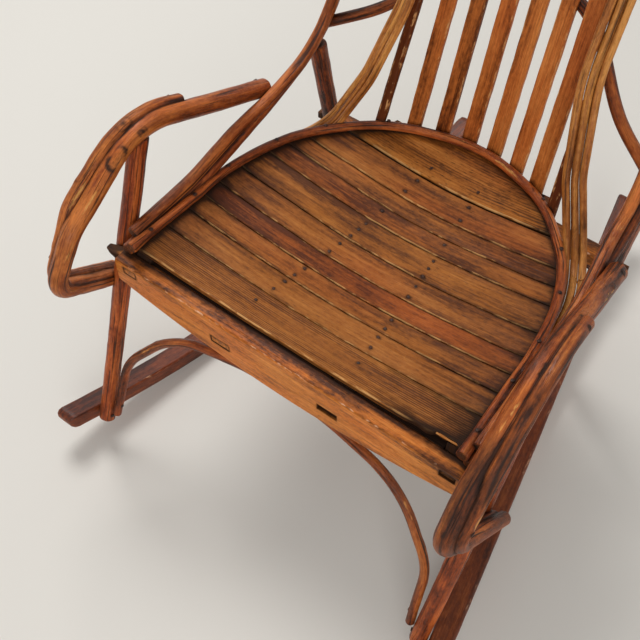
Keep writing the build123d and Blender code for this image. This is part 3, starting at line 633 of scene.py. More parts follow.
def wood(name, dark, middle, light, wear_and_highlight, ribs=0, specks=0, rib_pitch=3.6, fibre=0.2, gloss=0.42,
         relief=0.35, shine=0.2, checks=0):
    """Old varnished wood: streaks and fibres along the grain, pores, drying checks, grime and painted shade,
    rubbed edges and painted highlights.
    """
    n = Nodes(bpy.data.materials.new(name))
    n.grain = n.attribute("grain")
    paint = n.node("SeparateXYZ", {0: n.attribute("paint")}).outputs
    hue = n.attribute("hue", "Fac")
    broad = n.grain_noise(4, 34, 3, 0.6, 0.4)
    streak = n.grain_noise(9, 210, 2, 0.6, 0.3, 3.7)
    fine = n.grain_noise(26, 900, 2, 0.6, 0, 9.1)
    mottle = n.grain_noise(120, 260, 3, 0.65, 0, 40)
    tone = n.sway(streak, 0.9, n.sway(broad, 1.5, 0.5))
    tone = n.sway(mottle, 0.75, n.times_plus(paint["Z"], 0.55, tone))
    if ribs:
        across = n.node("SeparateXYZ", {0: n.grain}).outputs["Y"]
        wavy = n.times(n.grain_noise(3, 90, 2, 0.6, 0, 5.5), 9)
        rib = n.step(n.sums("SINE", n.times_plus(across, 2000 * pi / rib_pitch, wavy)), -0.9, 0.3)
        patchy = n.step(n.grain_noise(7, 45, 2, 0.5, 0, 2.2), 0.3, 0.6)
        tone = n.times_plus(n.times(n.sums("SUBTRACT", rib, 0.8), ribs), patchy, tone)
    colour = n.ramp(tone, (0.1, srgb(*dark)), (0.95, srgb(*light)), (0.52, srgb(*middle)))
    tint = n.ramp(n.times_plus(hue, 0.5, 0.5, True), (0, YELLOW_TINT), (1, RED_TINT), (0.5, PLAIN_TINT))
    colour = n.mix(1, colour, tint, "MULTIPLY")
    line = n.step(fine, 0.35, 0.65)
    height = n.times(line, 0.5)
    if ribs:
        height = n.times_plus(rib, 1.2 * ribs, height)
    pores = n.step(n.grain_noise(95, 520, 1, 0.5, 0, 1.3), 0.62, 0.72)
    shade = n.times(n.times_plus(line, fibre, 1 - fibre * 0.6),
                    n.times_plus(pores, -0.2 - 0.45 * specks, 1))
    height = n.times_plus(pores, -0.8, height)
    grey = n.node("CombineColor", {0: shade, 1: shade, 2: shade}).outputs[0]
    colour = n.mix(1, colour, grey, "MULTIPLY")
    if checks:
        crack = n.step(n.grain_noise(6, 250, 3, 0.55, 0.4, 14), 0.57, 0.65)
        colour = n.mix(n.times(crack, checks), colour, srgb(*CRACK_COLOUR))
        height = n.times_plus(crack, -1.6, height)
    # rubbed through to paler wood, and painted highlights along the arrises, in crisp patches
    ragged = n.grain_noise(70, 260, 3, 0.65, 0, 21)
    wear_and_highlight_mask = n.sway(ragged, 2, paint["X"])
    wear_and_highlight_mask = n.times(n.step(wear_and_highlight_mask, 0.35, 0.8), n.step(paint["X"], 0.05, 0.3))
    colour = n.mix(wear_and_highlight_mask, colour, srgb(*wear_and_highlight))
    # grime and painted shade over everything, in clouds
    cloud = n.grain_noise(60, 150, 3, 0.6, 0, 33)
    darkening = n.times(n.step(n.sway(cloud, 0.7, paint["Y"]), 0.12, 0.95), 0.93)
    colour = n.mix(darkening, colour, srgb(*GRIME_AND_SHADE_COLOUR))
    rough = n.sway(streak, 0.25, n.times_plus(darkening, 0.3, gloss))
    rough = n.times_plus(wear_and_highlight_mask, 0.12, rough, True)
    height = n.times_plus(streak, 1.4, height)
    n.set({"Specular IOR Level": shine})
    return n.finish(colour, rough, height, relief, 0.0006)


def iron(name):
    """Dark nail heads, rusted in blotches."""
    n = Nodes(bpy.data.materials.new(name))
    n.grain = n.attribute("grain")
    blotch = n.step(n.grain_noise(500, 500, 3, 0.6), 0.4, 0.62)
    colour = n.mix(blotch, srgb(38, 30, 27), srgb(78, 48, 34))
    n.set({"Metallic": 0.6})
    return n.finish(colour, n.times_plus(blotch, 0.3, 0.42), blotch, 0.4, 0.0003)


# each finish: a slot and its material
SLAT = dict(dark=(88, 48, 21), middle=(152, 91, 39), light=(180, 117, 58), wear_and_highlight=(206, 152, 92), shine=0.12)
PLAIN_SLAT = "slat_wood", wood("slat_wood_plain", **SLAT, specks=0.3)
RIBBED_SLAT = "slat_wood", wood("slat_wood_ribbed", **SLAT, ribs=0.55, rib_pitch=2.9, relief=0.5)
SPECKLED_SLAT = "slat_wood", wood(
    "slat_wood_speckled", dark=(98, 56, 22), middle=(168, 102, 42), light=(196, 130, 62),
    wear_and_highlight=(206, 152, 92), specks=0.9, ribs=0.3, rib_pitch=4.5, shine=0.12)
BACK_SLAT = "back_slat_wood", wood(
    "back_slat_wood_plain", dark=(98, 50, 22), middle=(186, 106, 48), light=(214, 134, 68),
    wear_and_highlight=(214, 158, 100), fibre=0.3, shine=0.15)
RAIL = "rail_wood", wood(
    "rail_wood_worn", dark=(86, 48, 22), middle=(196, 118, 46), light=(222, 148, 72),
    wear_and_highlight=(228, 178, 142), specks=0.6, checks=0.2, shine=0.15)
ROCKER = "rocker_wood", wood(
    "rocker_wood_worn", dark=(58, 27, 15), middle=(114, 58, 28), light=(156, 90, 48),
    wear_and_highlight=(188, 140, 106), gloss=0.38, shine=0.25)
BARK = "bark_rod", wood(
    "bark_rod_worn", dark=(54, 25, 11), middle=(142, 74, 32), light=(196, 118, 56),
    wear_and_highlight=(214, 150, 80), gloss=0.36, relief=1, shine=0.22, checks=0.85)
PEELED = "peeled_rod", wood(
    "peeled_rod_worn", dark=(100, 54, 22), middle=(170, 104, 46), light=(218, 152, 80),
    wear_and_highlight=(222, 166, 96), gloss=0.36, relief=0.8, shine=0.25, checks=0.6)
NAIL = "nail_iron", iron("nail_iron_rusted")


def make_rod(node, line, radius, seed, *looks, finish=BARK, **more):
    make(node, [rod(line, radius, seed, *looks, **more)], *finish)


# ---- rockers, legs and stretchers
rocker_along = stations(-ROCKER_LENGTH / 2, ROCKER_LENGTH / 2, 5, ROCKER_NOSE - 0.5)


def rocker_place(s, v, w):
    return np.stack([rocker_x(s) + v, s, rocker_under_z(s) + ROCKER_HEIGHT - w], -1)


half_width = ROCKER_WIDTH / 2
for seed, (side, sign) in enumerate(SIDES, 11):
    runner = board(rocker_along, -half_width, half_width, 0, ROCKER_HEIGHT, rocker_place, 3.2, seed,
                   hue=0.35, arris=(0.3, 0.3, 0.3, 0.3), edge=0.1, side=0.12, end=0.1, drawn=0.35)
    make(f"rocker_{side}", [on_side(runner, sign)], *ROCKER)

for seed, (side, sign) in enumerate(SIDES, 21):
    marks = [("split", (sign * 271, -352, 205), 60, 1, 0.8),
             ("worn", (sign * 272, -300, 330), 30, 3, 0.4)]
    make_rod(f"front_leg_{side}", evenly(mirrored(FRONT_LEG, sign), 4), FRONT_LEG_R, seed, 0.1, 0.75, marks,
             knots=0.6, worn=0.2, taper=-0.08)
    line = bent_line(mirrored(REAR_LEG, sign), (300,))
    make_rod(f"rear_leg_{side}", line, REAR_LEG_R, seed + 2, -0.25, 0.4)

for seed, y, name in ((31, STRETCHER_Y[0], "front"), (32, STRETCHER_Y[1], "rear")):
    reach = rocker_x(y) + ROCKER_WIDTH / 2 + STRETCHER_OVERHANG
    height = rocker_under_z(y) + ROCKER_HEIGHT + STRETCHER_R - STRETCHER_BITE
    line = evenly([(reach, y, height), (-reach, y, height)], 4)
    make_rod(f"stretcher_{name}", line, STRETCHER_R, seed, -0.7)

# ---- front rail with its through tenons
under = arc_through((-RAIL_HALF_LENGTH, RAIL_TOP_Z - RAIL_HEIGHT_END), (0, RAIL_TOP_Z - RAIL_HEIGHT_MIDDLE),
                    (RAIL_HALF_LENGTH, RAIL_TOP_Z - RAIL_HEIGHT_END))
at, inset = stations(-RAIL_HALF_LENGTH, RAIL_HALF_LENGTH, 3, 1.2)
plank = board((at, inset), RAIL_FRONT_Y, rail_back_y, 0, RAIL_TOP_Z - under(at), straight(RAIL_TOP_Z),
              2.6, 41, wobble=0, loop=RAIL_SECTION)
tip, thick, high, tongue_y, tongue_z = TONGUE
worn_down, worn_up, thinned = TONGUE_WORN
tongues = []
for _, sign in SIDES:
    at, inset = stations(TONGUE_START_X, tip - TONGUE_CUT_BACK, 3, 1.6)
    low, half = fade(at, 266, 290), thick / 2 * (1 - thinned * fade(at, 286, 298))
    tongue = board((at, inset), tongue_y - half, tongue_y + half, worn_down * low, high - worn_up * low,
                   straight(tongue_z + high / 2), 1.4, 43, wobble=0)
    tongues.append(on_side(tongue, sign))
slots = []  # middle x and z, half width and height, darkness of the painted shade in it
for (number, sign), sunk in TENON_SUNK.items():
    beside, above = (0.7, 0.6) if sunk > 2 else (0.3, 0.2)
    slots.append((sign * bearer_x(number, RAIL_FRONT_Y) + TENON_SHIFT[number, sign], TENON_Z[number],
                  TENON_WIDTH[number] / 2 + beside, TENON_HEIGHT / 2 + above, min(sunk / 2 + 0.2, 1)))


def rail_paint(places):
    """Where the rail is rubbed and painted with a highlight along its front arris, where it is grimy and
    where it is painted with shade, from the place alone.
    """
    x, y, z = places.T
    down, back = RAIL_TOP_Z - z, y - RAIL_FRONT_Y
    near = np.sqrt(down**2 + back**2)
    arris_breaks = lumps(x / 6, 0, 0, 1) * 0.7 + lumps(x / 37, 0, 0, 2) * 0.6
    # wear and a painted highlight along the front arris
    wear_and_highlight = bell(near / 1.7) * np.clip(0.72 + 0.5 * arris_breaks, 0, 1) * fade(270 - abs(x), 0, 35)
    top = fade(z, RAIL_TOP_Z - 1.4, RAIL_TOP_Z - 0.2)
    cloud = lumps(x / 34, y / 9, z / 30, 3)
    fleck = lumps(x / 6, y / 4, z / 9, 6)
    ends = 0.25 * fade(abs(x), 190, 262)
    # on the top: grime in clouds and flecks, painted shadow of the first slat towards the back, and darker
    # towards the ends
    grime_and_shade = top * (0.1 + 0.12 * cloud + 0.12 * fleck + 0.5 * fade(back, 9, 18) + ends)
    # darker still at the very ends, and on the lower faces towards the back
    grime_and_shade += 0.5 * fade(abs(x), 262, 280) + 0.3 * fade(back, 12, 22) * (1 - top)
    grime_and_shade += 0.3 * (1 - top) * np.clip(fleck - 0.45, 0, 1)
    # the top's tone is darker towards the back, as painted shadow of the first slat
    above = -0.22 + 0.3 * cloud + 0.12 * fleck - 0.35 * fade(back, 8, 17)
    shade = np.where(top > 0.5, above, 0.15 + 0.3 * lumps(x / 60, z / 12, 0, 4))
    shade -= 0.25 * fade(x, 60, 240) * (1 - top)
    # painted shade round and inside each slot, darker the deeper its tenon is sunk
    for cx, cz, wide, tall, dark in slots:
        off = np.hypot(np.maximum(abs(x - cx) - wide, 0), np.maximum(abs(z - cz) - tall, 0))
        grime_and_shade += np.where((back < 4) & (back > -1), 0.5 * dark * np.exp(-off / 1.6), 0)
        grime_and_shade += np.where((back > 0.4) & (back < 22.8) & (off < 0.3), 0.9 * dark, 0)
    hue = 0.15 + 0.25 * top + 0.25 * lumps(x / 70, z / 25, 0, 5)
    return np.stack([wear_and_highlight, grime_and_shade, shade], 1), hue


def boxes(places):
    """One mesh of plain boxes (low corner, high corner), to cut with."""
    points, faces = [], []
    for box in places:
        base = len(points)
        points += [tuple(box[i >> k & 1][k] * MM for k in range(3)) for i in range(8)]
        faces += [[base + i for i in f] for f in ((0, 2, 3, 1), (4, 5, 7, 6), (0, 1, 5, 4), (2, 6, 7, 3),
                                                  (0, 4, 6, 2), (1, 3, 7, 5))]
    return new_mesh("cutter", points, faces)


def cut_by(skin, places):
    """The skin with boxes cut out of its shape, still to be painted."""
    blank = new_mesh("blank", (skin.points * MM).tolist(), skin.faces)
    cutter = boxes(places)
    cut = blank.modifiers.new("slots", "BOOLEAN")
    cut.object, cut.operation, cut.solver = cutter, "DIFFERENCE", "EXACT"
    bpy.context.view_layer.update()
    mesh = bpy.data.meshes.new_from_object(blank.evaluated_get(bpy.context.evaluated_depsgraph_get()))
    made = copy(skin)
    made.points, made.faces = points_of(mesh), faces_of(mesh)
    for extra in (blank, cutter):
        bpy.data.objects.remove(extra)
    return made


before, inside = RAIL_FRONT_Y - 5, RAIL_FRONT_Y + SLOT_DEPTH
skin = cut_by(plank, [((x - wide, before, z - tall), (x + wide, inside, z + tall))
                      for x, z, wide, tall, _ in slots])
# chips out of the front arris
x, y, z = skin.points.T
near = bell((RAIL_TOP_Z - z) / 3.2) * bell((y - RAIL_FRONT_Y) / 3.2)
chip = 0.4 * np.clip(lumps(x / 9, 0, 0, 7) + 0.2, 0, 1) * near
skin.points[:, 1] += chip
skin.points[:, 2] -= chip
skin.grain = np.stack([x, z, y], 1) + [300, 20, 0]
skin.paint, skin.hue = rail_paint(skin.points)
for tongue in tongues:
    tongue.grain = tongue.points[:, [0, 2, 1]] + [300, 20, 0]
    tongue.paint, tongue.hue = rail_paint(tongue.points)
    tongue.paint[:, 1] += 0.35
shade_ledges = []
for low, high in SHADE_LEDGE_PARTS:
    shade_ledge = board(stations(low, high, 8, 1), rail_back_y - 0.5, rail_back_y + SHADE_LEDGE_DEPTH, 0,
                   SHADE_LEDGE_HEIGHT, straight(RAIL_TOP_Z - SHADE_LEDGE_DOWN), 1, 44, -0.8, edge=0.9, side=0.9)
    # painted shade: the whole ledge is darkened
    shade_ledge.paint[:, 1] += 0.8
    shade_ledges.append(shade_ledge)
make("front_rail", [skin, *shade_ledges, *tongues], *RAIL)

# ---- rear rail and bearers
half, rear_y, rear_z, deep, high = REAR_RAIL
bars = [board(stations(-half, half, 5, 1.5), rear_y - deep / 2, rear_y + deep / 2, 0, high,
              straight(rear_z + high / 2), 2, 51, -0.5, edge=0.2)]
for _, sign in SIDES:
    tongue = board(stations(half - 8, REAR_TONGUE_TIP_X, 4, 1.2), rear_y - REAR_TONGUE / 2,
                   rear_y + REAR_TONGUE / 2, 0, REAR_TONGUE, straight(rear_z + REAR_TONGUE / 2), 1.4, 52,
                   -0.4, edge=0.2)
    bars.append(on_side(tongue, sign))
make("rear_rail", bars, *RAIL)

for number, name in enumerate(("inner_bearer", "outer_bearer")):
    belly = arc_through((rail_back_y, BEARER_FRONT_BOTTOM[number]), (-90, BEARER_BELLY[number]),
                        (BEARER_REAR_Y, BEARER_REAR_BOTTOM))

    def bearer_place(s, v, w):
        x = bearer_x(number, s) + v
        top = seat_top_z(x, s) - SLAT_THICKNESS + 0.2
        top = np.where(s < SEAT_FRONT_Y, np.minimum(top, RAIL_TOP_Z), top)
        return np.stack([x, s, top - w * (top - belly(s))], -1)

    half = BEARER_WIDTH[number] / 2
    beam = board(stations(rail_back_y, BEARER_REAR_Y, 5, 0.01), -half, half, 0, 1, bearer_place, 0.04, 55,
                 -0.45)

    def tenon_place(s, v, w):
        return np.stack([bearer_x(number, s) + v, s, TENON_Z[number] + TENON_HEIGHT / 2 - w], -1)

    half = TENON_WIDTH[number] / 2
    for side, sign in SIDES:
        sunk = TENON_SUNK[number, sign]
        tenon = board(stations(RAIL_FRONT_Y + sunk, rail_back_y + 1, 3, 0.8), -half, half, 0, TENON_HEIGHT,
                      tenon_place, 0.8, 56, -0.2, -0.1, (0.1, 0.1, 0.1, 0.1), end=0.3 if sunk > 1 else 0)
        # painted shade on the tenon's end, darker the deeper it lies in its slot
        tenon.paint[:, 1] += min(sunk / 8, 0.6)
        both = [on_side(beam, sign), on_side(tenon, sign)]
        both[1].points[:, 0] += TENON_SHIFT[number, sign]
        make(f"{name}_{side}", both, *RAIL)

# ---- seat slats
seams = [SEAT_FRONT_Y]
for pitch in SLAT_PITCHES:
    seams.append(seams[-1] + pitch)
seams.append(seat_back_y)
# how each slat looks from front to back: tone, red, cup, lean
SLAT_LOOKS = ((0.05, -0.25, 0.5, 0.3), (0, -0.1, -0.4, 0.3), (-0.05, 0, 0.3, -0.2),
              (-0.2, 0.5, 0, 0.3), (-0.1, 0.15, -0.3, -0.3), (-0.1, -0.3, 0.3, 0.2), (-0.1, 0.2, 0.4, -0.3),
              (-0.15, 0.1, -0.4, 0.3), (0, 0.2, 0.2, -0.2), (0.15, -0.1, 0.5, 0.2))


def broken(x):
    """How much of the first slat's front edge has split away near its right end."""
    depth = SPLIT_DEPTH + 1.2 * lumps(x / 5, 0, 0, 5)
    start, full, closing, end = SPLIT_X
    return depth * fade(x, start, full) * (1 - fade(x, closing, end)) + 1.6 * bell((x - CHIP_X) / 7)


def sliver_place(s, v, w):
    """It stands up and forward a little where it is loose."""
    y = v - 0.5 * fade(s, 213, SLIVER_X[0])
    return np.stack([spread(s, v), y, seat_top_z(s, v) - 0.4 - w + 1.2 * fade(s, 206, SLIVER_X[0])], -1)


for number, (tone, red, cup, lean) in enumerate(SLAT_LOOKS):
    first, last = number == 0, number == len(SLAT_LOOKS) - 1
    front = seams[number] + (SLAT_LAST_GAP / 2 if last else SLAT_GAP / 2 - 0.35)
    back = seams[number + 1] - SLAT_GAP / 2 + 0.35
    widest = float(seat_half_width(front if last else (front + back) / 2))
    widest -= LAST_SLAT_SHORTER if last else 0
    at, inset = stations(-widest, widest, 4, 1.6)
    v0 = front - FIRST_SLAT_FORWARD + broken(at) if first else front
    v1 = seat_rear_y(at) - 0.2 if last else back

    def slat_place(s, v, w):
        x = s if last else s * (seat_half_width(v) - SLAT_END_INSET) / widest
        across = (v - (front + back) / 2) / ((back - front) / 2)
        rise = cup * (across**2 - 0.4) + lean * across * (0.4 + 0.6 * np.sin(s / 130 + number))
        rise = rise + 0.35 * lumps(s / 60, v / 25, 0, number)
        rise = rise * (1 - fade(abs(s), widest - 25, widest - 8))
        return np.stack([spread(x, v), v, seat_top_z(x, v) - w + rise], -1)

    # painted shade on each slat's front and back faces, in the gaps between slats
    slat = board((at, inset), v0, v1, 0, SLAT_THICKNESS, slat_place, 1.7, 60 + number, tone, red,
                 arris=(0.85, 0.3, 0, 0), edge=0.5, side=0.6 if first else 0.75, end=0.75, wobble=0.4)
    x, y = slat.points[:, 0], slat.points[:, 1]
    limit = abs(spread(np.where(x < 0, -1, 1) * (seat_half_width(y) - SLAT_END_INSET), y))
    to_end = np.maximum(limit - abs(x), 0)
    slat.paint[:, 1] += 0.42 * np.exp(-to_end / 34) + 0.3 * np.exp(-to_end / 9)
    slat.paint[:, 2] -= 0.45 * np.exp(-to_end / 60)
    skins = [slat]
    if first:
        slat.paint[:, 1] += 0.55 * bell((y - front) / 8) * fade(x, 120, 215)
        slat.paint[:, 1] += 0.3 * fade(x, 60, 230)
        at, inset = stations(*SLIVER_X, 2, 0.5)
        thin = 0.8 + 0.5 * lumps(at / 4, 0, 0, 8)
        skins.append(board((at, inset), front + 0.1, front + 1.7 + thin, 0, 2.2, sliver_place, 0.5, 75, 0.5,
                           arris=(0.9, 0.3, 0, 0), edge=0, side=0.1, end=0.1, wobble=0.1))
    if last:
        slat.paint[:, 1] += 0.35 * np.exp(-(seat_rear_y(np.clip(x, -220, 220)) - y) / 12)
    finish = RIBBED_SLAT if first else SPECKLED_SLAT if last else PLAIN_SLAT
    make(f"seat_slat_{number + 1:02d}", skins, *finish)

# ---- seat hoop
plan = [(SEAT_HALF_WIDTH - SEAT_HOOP_INSET + 1, SEAT_FRONT_Y - SEAT_HOOP_FORWARD)]
for angle in np.linspace(taper_angle, corner_angle, 24):
    radius = SEAT_SIDE_R - SEAT_HOOP_INSET
    plan.append((flank_x + radius * cos(angle), flank_y + radius * sin(angle)))
for angle in np.linspace(corner_angle, pi / 2, 40)[1:]:
    radius = back_radius - SEAT_HOOP_INSET
    plan.append((radius * cos(angle), back_centre_y + radius * sin(angle)))
plan += [(-x, y) for x, y in reversed(plan[:-1])]
slope, top_z = atan(-SEAT_EDGE_SLOPE), SEAT_EDGE_Z + SEAT_HOOP_R - SEAT_HOOP_BITE
ring = []
for x, y in plan:
    back = y - SEAT_FRONT_Y
    ring.append((float(spread(x, y)), SEAT_FRONT_Y + back * cos(slope), top_z - back * sin(slope)))
marks = [("worn", (54, 131, 364), 26, 3.2, 0.8), ("worn", (-40, 138, 364), 34, 2.2, 0.45),
         ("stain", (139, 87, 367), 30, 5, 0.5)]
make_rod("seat_hoop", evenly(ring, 3.5), SEAT_HOOP_R, 81, 0.1, 0.4, marks, knots=0.8, worn=0.5, swell=0.22,
         wander=0.5)

# ---- bent hoops, bow and arch
hoop_back = [(x, back_plane_y(z) + HOOP_SET_BACK, z) for x, z in HOOP_BACK_PATH]
hoop = both_ways([*HOOP_SEAT_PATH, *hoop_back], HOOP_BENDS)
line = bent_line(*hoop)
make_rod("outer_hoop_rear", line[line[:, 1] > HOOP_START_Y[0]], HOOP_R, 91, -0.2, 0.35, splits=1.4)
marks = [("knot", (250, -166, 403), 5, 4, 0.8), ("knot", (249, -75, 421), 4, 3.5, 0.8),
         ("worn", (252, -193, 399), 13, 2.6, 0.9), ("worn", (250, 43, 453), 40, 4, 0.35),
         ("split", (-252, -215, 396), 75, 1.4, 0.9), ("split", (-250, -120, 408), 60, 1.2, 0.8)]
line = bent_line(*alongside(*hoop, HOOP_ACROSS, HOOP_STEP))
share = fade(HOOP_MOVED_Y - line[:, 1], 0, HOOP_MOVE_GROWS)  # beside the seat it lies on the rear one
line[:, 0] += np.sign(line[:, 0]) * HOOP_OUT * share
line[:, 2] += HOOP_UP * share
make_rod("outer_hoop_front", line[line[:, 1] > HOOP_START_Y[1]], HOOP_R, 92, 0.1, 0.15, marks, splits=1.6)

strand_back = [(x, back_plane_y(z), z) for x, z in STRAND_BACK_PATH]
strand = both_ways([*STRAND_SEAT_PATH, *strand_back], STRAND_BENDS)
for seed, name, step in ((95, "outer", -STRAND_STEP), (96, "middle", 0), (97, "inner", STRAND_STEP)):
    line = bent_line(*alongside(*strand, (-1, 0, 0), step))
    make_rod(f"inner_hoop_{name}", line, STRAND_R, seed, 0.3, -0.1, finish=PEELED, worn=2, knots=0.5,
             wander=0.3)

bow = [(x, y, BOW_START_Z + BOW_TILT * (y - BOW_START_Y)) for x, y in BOW_PATH]
make_rod("back_bow", bent_line(*both_ways(bow, BOW_BENDS)), BOW_R, 101, -0.1, 0.2)
arch = [(x, ARCH_TOP_Y - ARCH_LEAN * (ARCH_PATH[-1][1] - z), z) for x, z in ARCH_PATH]
make_rod("front_arch", bent_line(*both_ways(arch, ARCH_BENDS)), ARCH_R, 102, 0, 0.25, worn=1.5)

# ---- arms
# kind, place, length, width and amount of each mark
ARM_MARKS = {
    "inner_right": [("knot", (289, -238, 522), 6, 5, 0.9), ("worn", (286, -283, 506), 9, 2.4, 0.6),
                    ("worn", (284, -301, 494), 16, 2.4, 0.5), ("split", (293, -190, 515), 60, 1.6, 0.9),
                    ("knot", (287, -134, 498), 7, 7, 0.8), ("stain", (285, -372, 425), 55, 16, 0.9),
                    ("stain", (286, -330, 470), 40, 12, 0.7), ("stain", (283, -26, 450), 18, 9, 0.6)],
    "outer_right": [("worn", (309, -370, 417), 17, 3.5, 0.7), ("stain", (303, -345, 460), 40, 12, 0.7),
                    ("split", (304, -335, 477), 45, 1.4, 0.9)],
    "inner_left": [("scar", (-275, -270, 508), 15, 9, 1), ("knot", (-273, -223, 518), 6, 5, 0.9),
                   ("worn", (-277, -322, 478), 30, 3.2, 0.5), ("stain", (-291, -343, 342), 26, 8, 0.6),
                   ("split", (-274, -358, 450), 40, 1.2, 0.7)],
    "outer_left": [("knot", (-292, -236, 530), 9, 6, 1), ("knot", (-302, -317, 492), 7, 5, 1),
                   ("worn", (-293, -330, 477), 24, 3.6, 1), ("worn", (-298, -348, 449), 20, 4, 0.9),
                   ("worn", (-298, -362, 436), 14, 4.5, 0.8), ("knot", (-298, -370, 416), 6, 4, 0.7)],
}
ARMS = ((111, "inner", ARM_PATH, ARM_BENDS, ARM_R, 0.15, 0.3),
        (113, "outer", OUTER_ARM_PATH, OUTER_ARM_BENDS, OUTER_ARM_R, 0.25, 0.1))
for side, sign in SIDES:
    for seed, name, path, bends, radius, tone, red in ARMS:
        line = bent_line(mirrored(path, sign), bends, 3)
        make_rod(f"arm_{name}_{side}", line, radius, seed + (sign < 0), tone - 0.2 * (sign > 0), red,
                 ARM_MARKS[f"{name}_{side}"], splits=1.8, worn=1.3)

# ---- back slats
crown = bent_line(*both_ways([(x, 0, z) for x, z in CROWN], CROWN_BENDS), 2)
crown = crown[(crown[:, 2] > 500) & (crown[:, 0] > -0.5)][::-1]


def crown_z(x):
    return np.interp(x, crown[:, 0], crown[:, 2])


# tone and red of each back slat from the middle out, right and left
BACK_LOOKS = (((0, -0.1), (0.15, 0), (0.2, 0.05), (-0.7, 0.5)),
              ((0, 0.15), (-0.5, 0.1), (0.15, 0.05), (-0.9, 0.1)))
touch_z = seat_edge_z(seat_back_y)
for (side, sign), looks in zip(SIDES, BACK_LOOKS):
    for number, (tone, red) in enumerate(looks):
        wide, thick = BACK_SLAT_WIDTH[number], BACK_SLAT_THICKNESS[number]
        foot_x, top_x = BACK_SLAT_X[number], BACK_SLAT_TOP_X[number]
        touch_y = float(seat_rear_y(foot_x - wide / 2)) - BACK_SLAT_BITE
        meet_z = BACK_SLAT_MEET_Z[number]
        meet_y = back_plane_y(meet_z) + STRAND_R / cos(atan(BACK_LEAN)) - BACK_SLAT_BITE

        def stave_place(s, v, w):
            z = BACK_SLAT_FOOT_Z + s * (crown_z(top_x + v) - BACK_SLAT_FOOT_Z) / BACK_SLAT_RUN
            up = (z - BACK_SLAT_FOOT_Z) / (BACK_SLAT_TOP_Z - BACK_SLAT_FOOT_Z)
            y = touch_y + (meet_y - touch_y) * (z - touch_z) / (meet_z - touch_z) + w
            y = y + 0.5 * lumps(s / 90, v / 30, 0, number)
            return np.stack([foot_x + (top_x - foot_x) * up + v, y, z], -1)

        seed = 120 + number * 2 + (side == "left")
        bevel = 4.5 if number == 3 else 1.6
        stave = board(stations(0, BACK_SLAT_RUN, 5, 1.5), -wide / 2, wide / 2, 0, thick, stave_place, bevel,
                      seed, tone, red, arris=(0.5, 0.5, 0.3, 0.3), edge=0.15, side=0.12, end=0.3)
        stave.paint[:, 1] += 0.5 * np.exp(-(stave.points[:, 2] - BACK_SLAT_FOOT_Z) / 22)
        make(f"back_slat_{number + 1}_{side}", [on_side(stave, sign)], *BACK_SLAT)

# ---- nails
# share of the radius and height over the wood of each ring of a nail's head
NAIL_RINGS = ((0.9, -1.75), (1, -1.05), (1.02, -0.5), (0.9, -0.1), (0.62, 0.13), (0.25, 0.21))
NAIL_CORNERS, HEAD_BAND, HEAD_SHARE, HEAD_TILT = 14, 0.3, 0.86, 0.16


def separate_parts(mesh):
    """The corners of each separate closed shape in a mesh, in millimetres."""
    keys, same = np.unique(np.round(points_of(mesh), 2), axis=0, return_inverse=True)
    same = same.ravel()
    links = np.array([(same[p.vertices[0]], same[v]) for p in mesh.polygons for v in p.vertices[1:]])
    owner = np.arange(len(keys))
    while True:
        new = owner.copy()
        for end in (0, 1):
            np.minimum.at(new, links[:, end], owner[links].min(axis=1))
        if (new == owner).all():
            return [keys[owner == group] for group in np.unique(owner)]
        owner = new


def nail_head(core, axis, radius, number, k):
    """A domed head, a little tilted and out of round."""
    up = axis + HEAD_TILT * np.array([lumps(k * 1.7, j, number * 3.1, 5) for j in range(3)])
    up /= np.linalg.norm(up)
    side_on = np.cross(up, [0.31, 0.87, 0.38])
    side_on /= np.linalg.norm(side_on)
    angle = np.arange(NAIL_CORNERS) * 2 * pi / NAIL_CORNERS
    out = np.cos(angle)[:, None] * side_on + np.sin(angle)[:, None] * np.cross(up, side_on)
    rough = 1 + 0.07 * lumps(np.cos(angle) * 1.3 + k, np.sin(angle) * 1.3, 0, number)
    rings = [core + up * rise + (radius * share * rough)[:, None] * out for share, rise in NAIL_RINGS]
    rings = np.stack(rings)
    return Skin(rings, rings, np.zeros_like(rings), 0)


nail_tops = []
for number, node in enumerate(("seat_nails", "hoop_nails", "arm_nails", "frame_nails", "back_nails")):
    skins = []
    for k, own in enumerate(separate_parts(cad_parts[node].data)):
        middle = (own.max(axis=0) + own.min(axis=0)) / 2
        axis = np.linalg.svd(own - own.mean(axis=0))[2][0]
        along = (own - middle) @ axis
        off = np.linalg.norm(own - middle - along[:, None] * axis, axis=1)
        if off[along > 0].max() < off[along < 0].max():
            axis, along = -axis, -along
        head = along > along.max() - HEAD_BAND
        core, radius = own[head].mean(axis=0), off[head].max() * HEAD_SHARE
        if node == "hoop_nails":
            core[0] = spread(core[0], core[1])
        nail_tops.append((core, radius))
        skins.append(nail_head(core, axis, radius, number, k))
    make(node, skins, *NAIL)
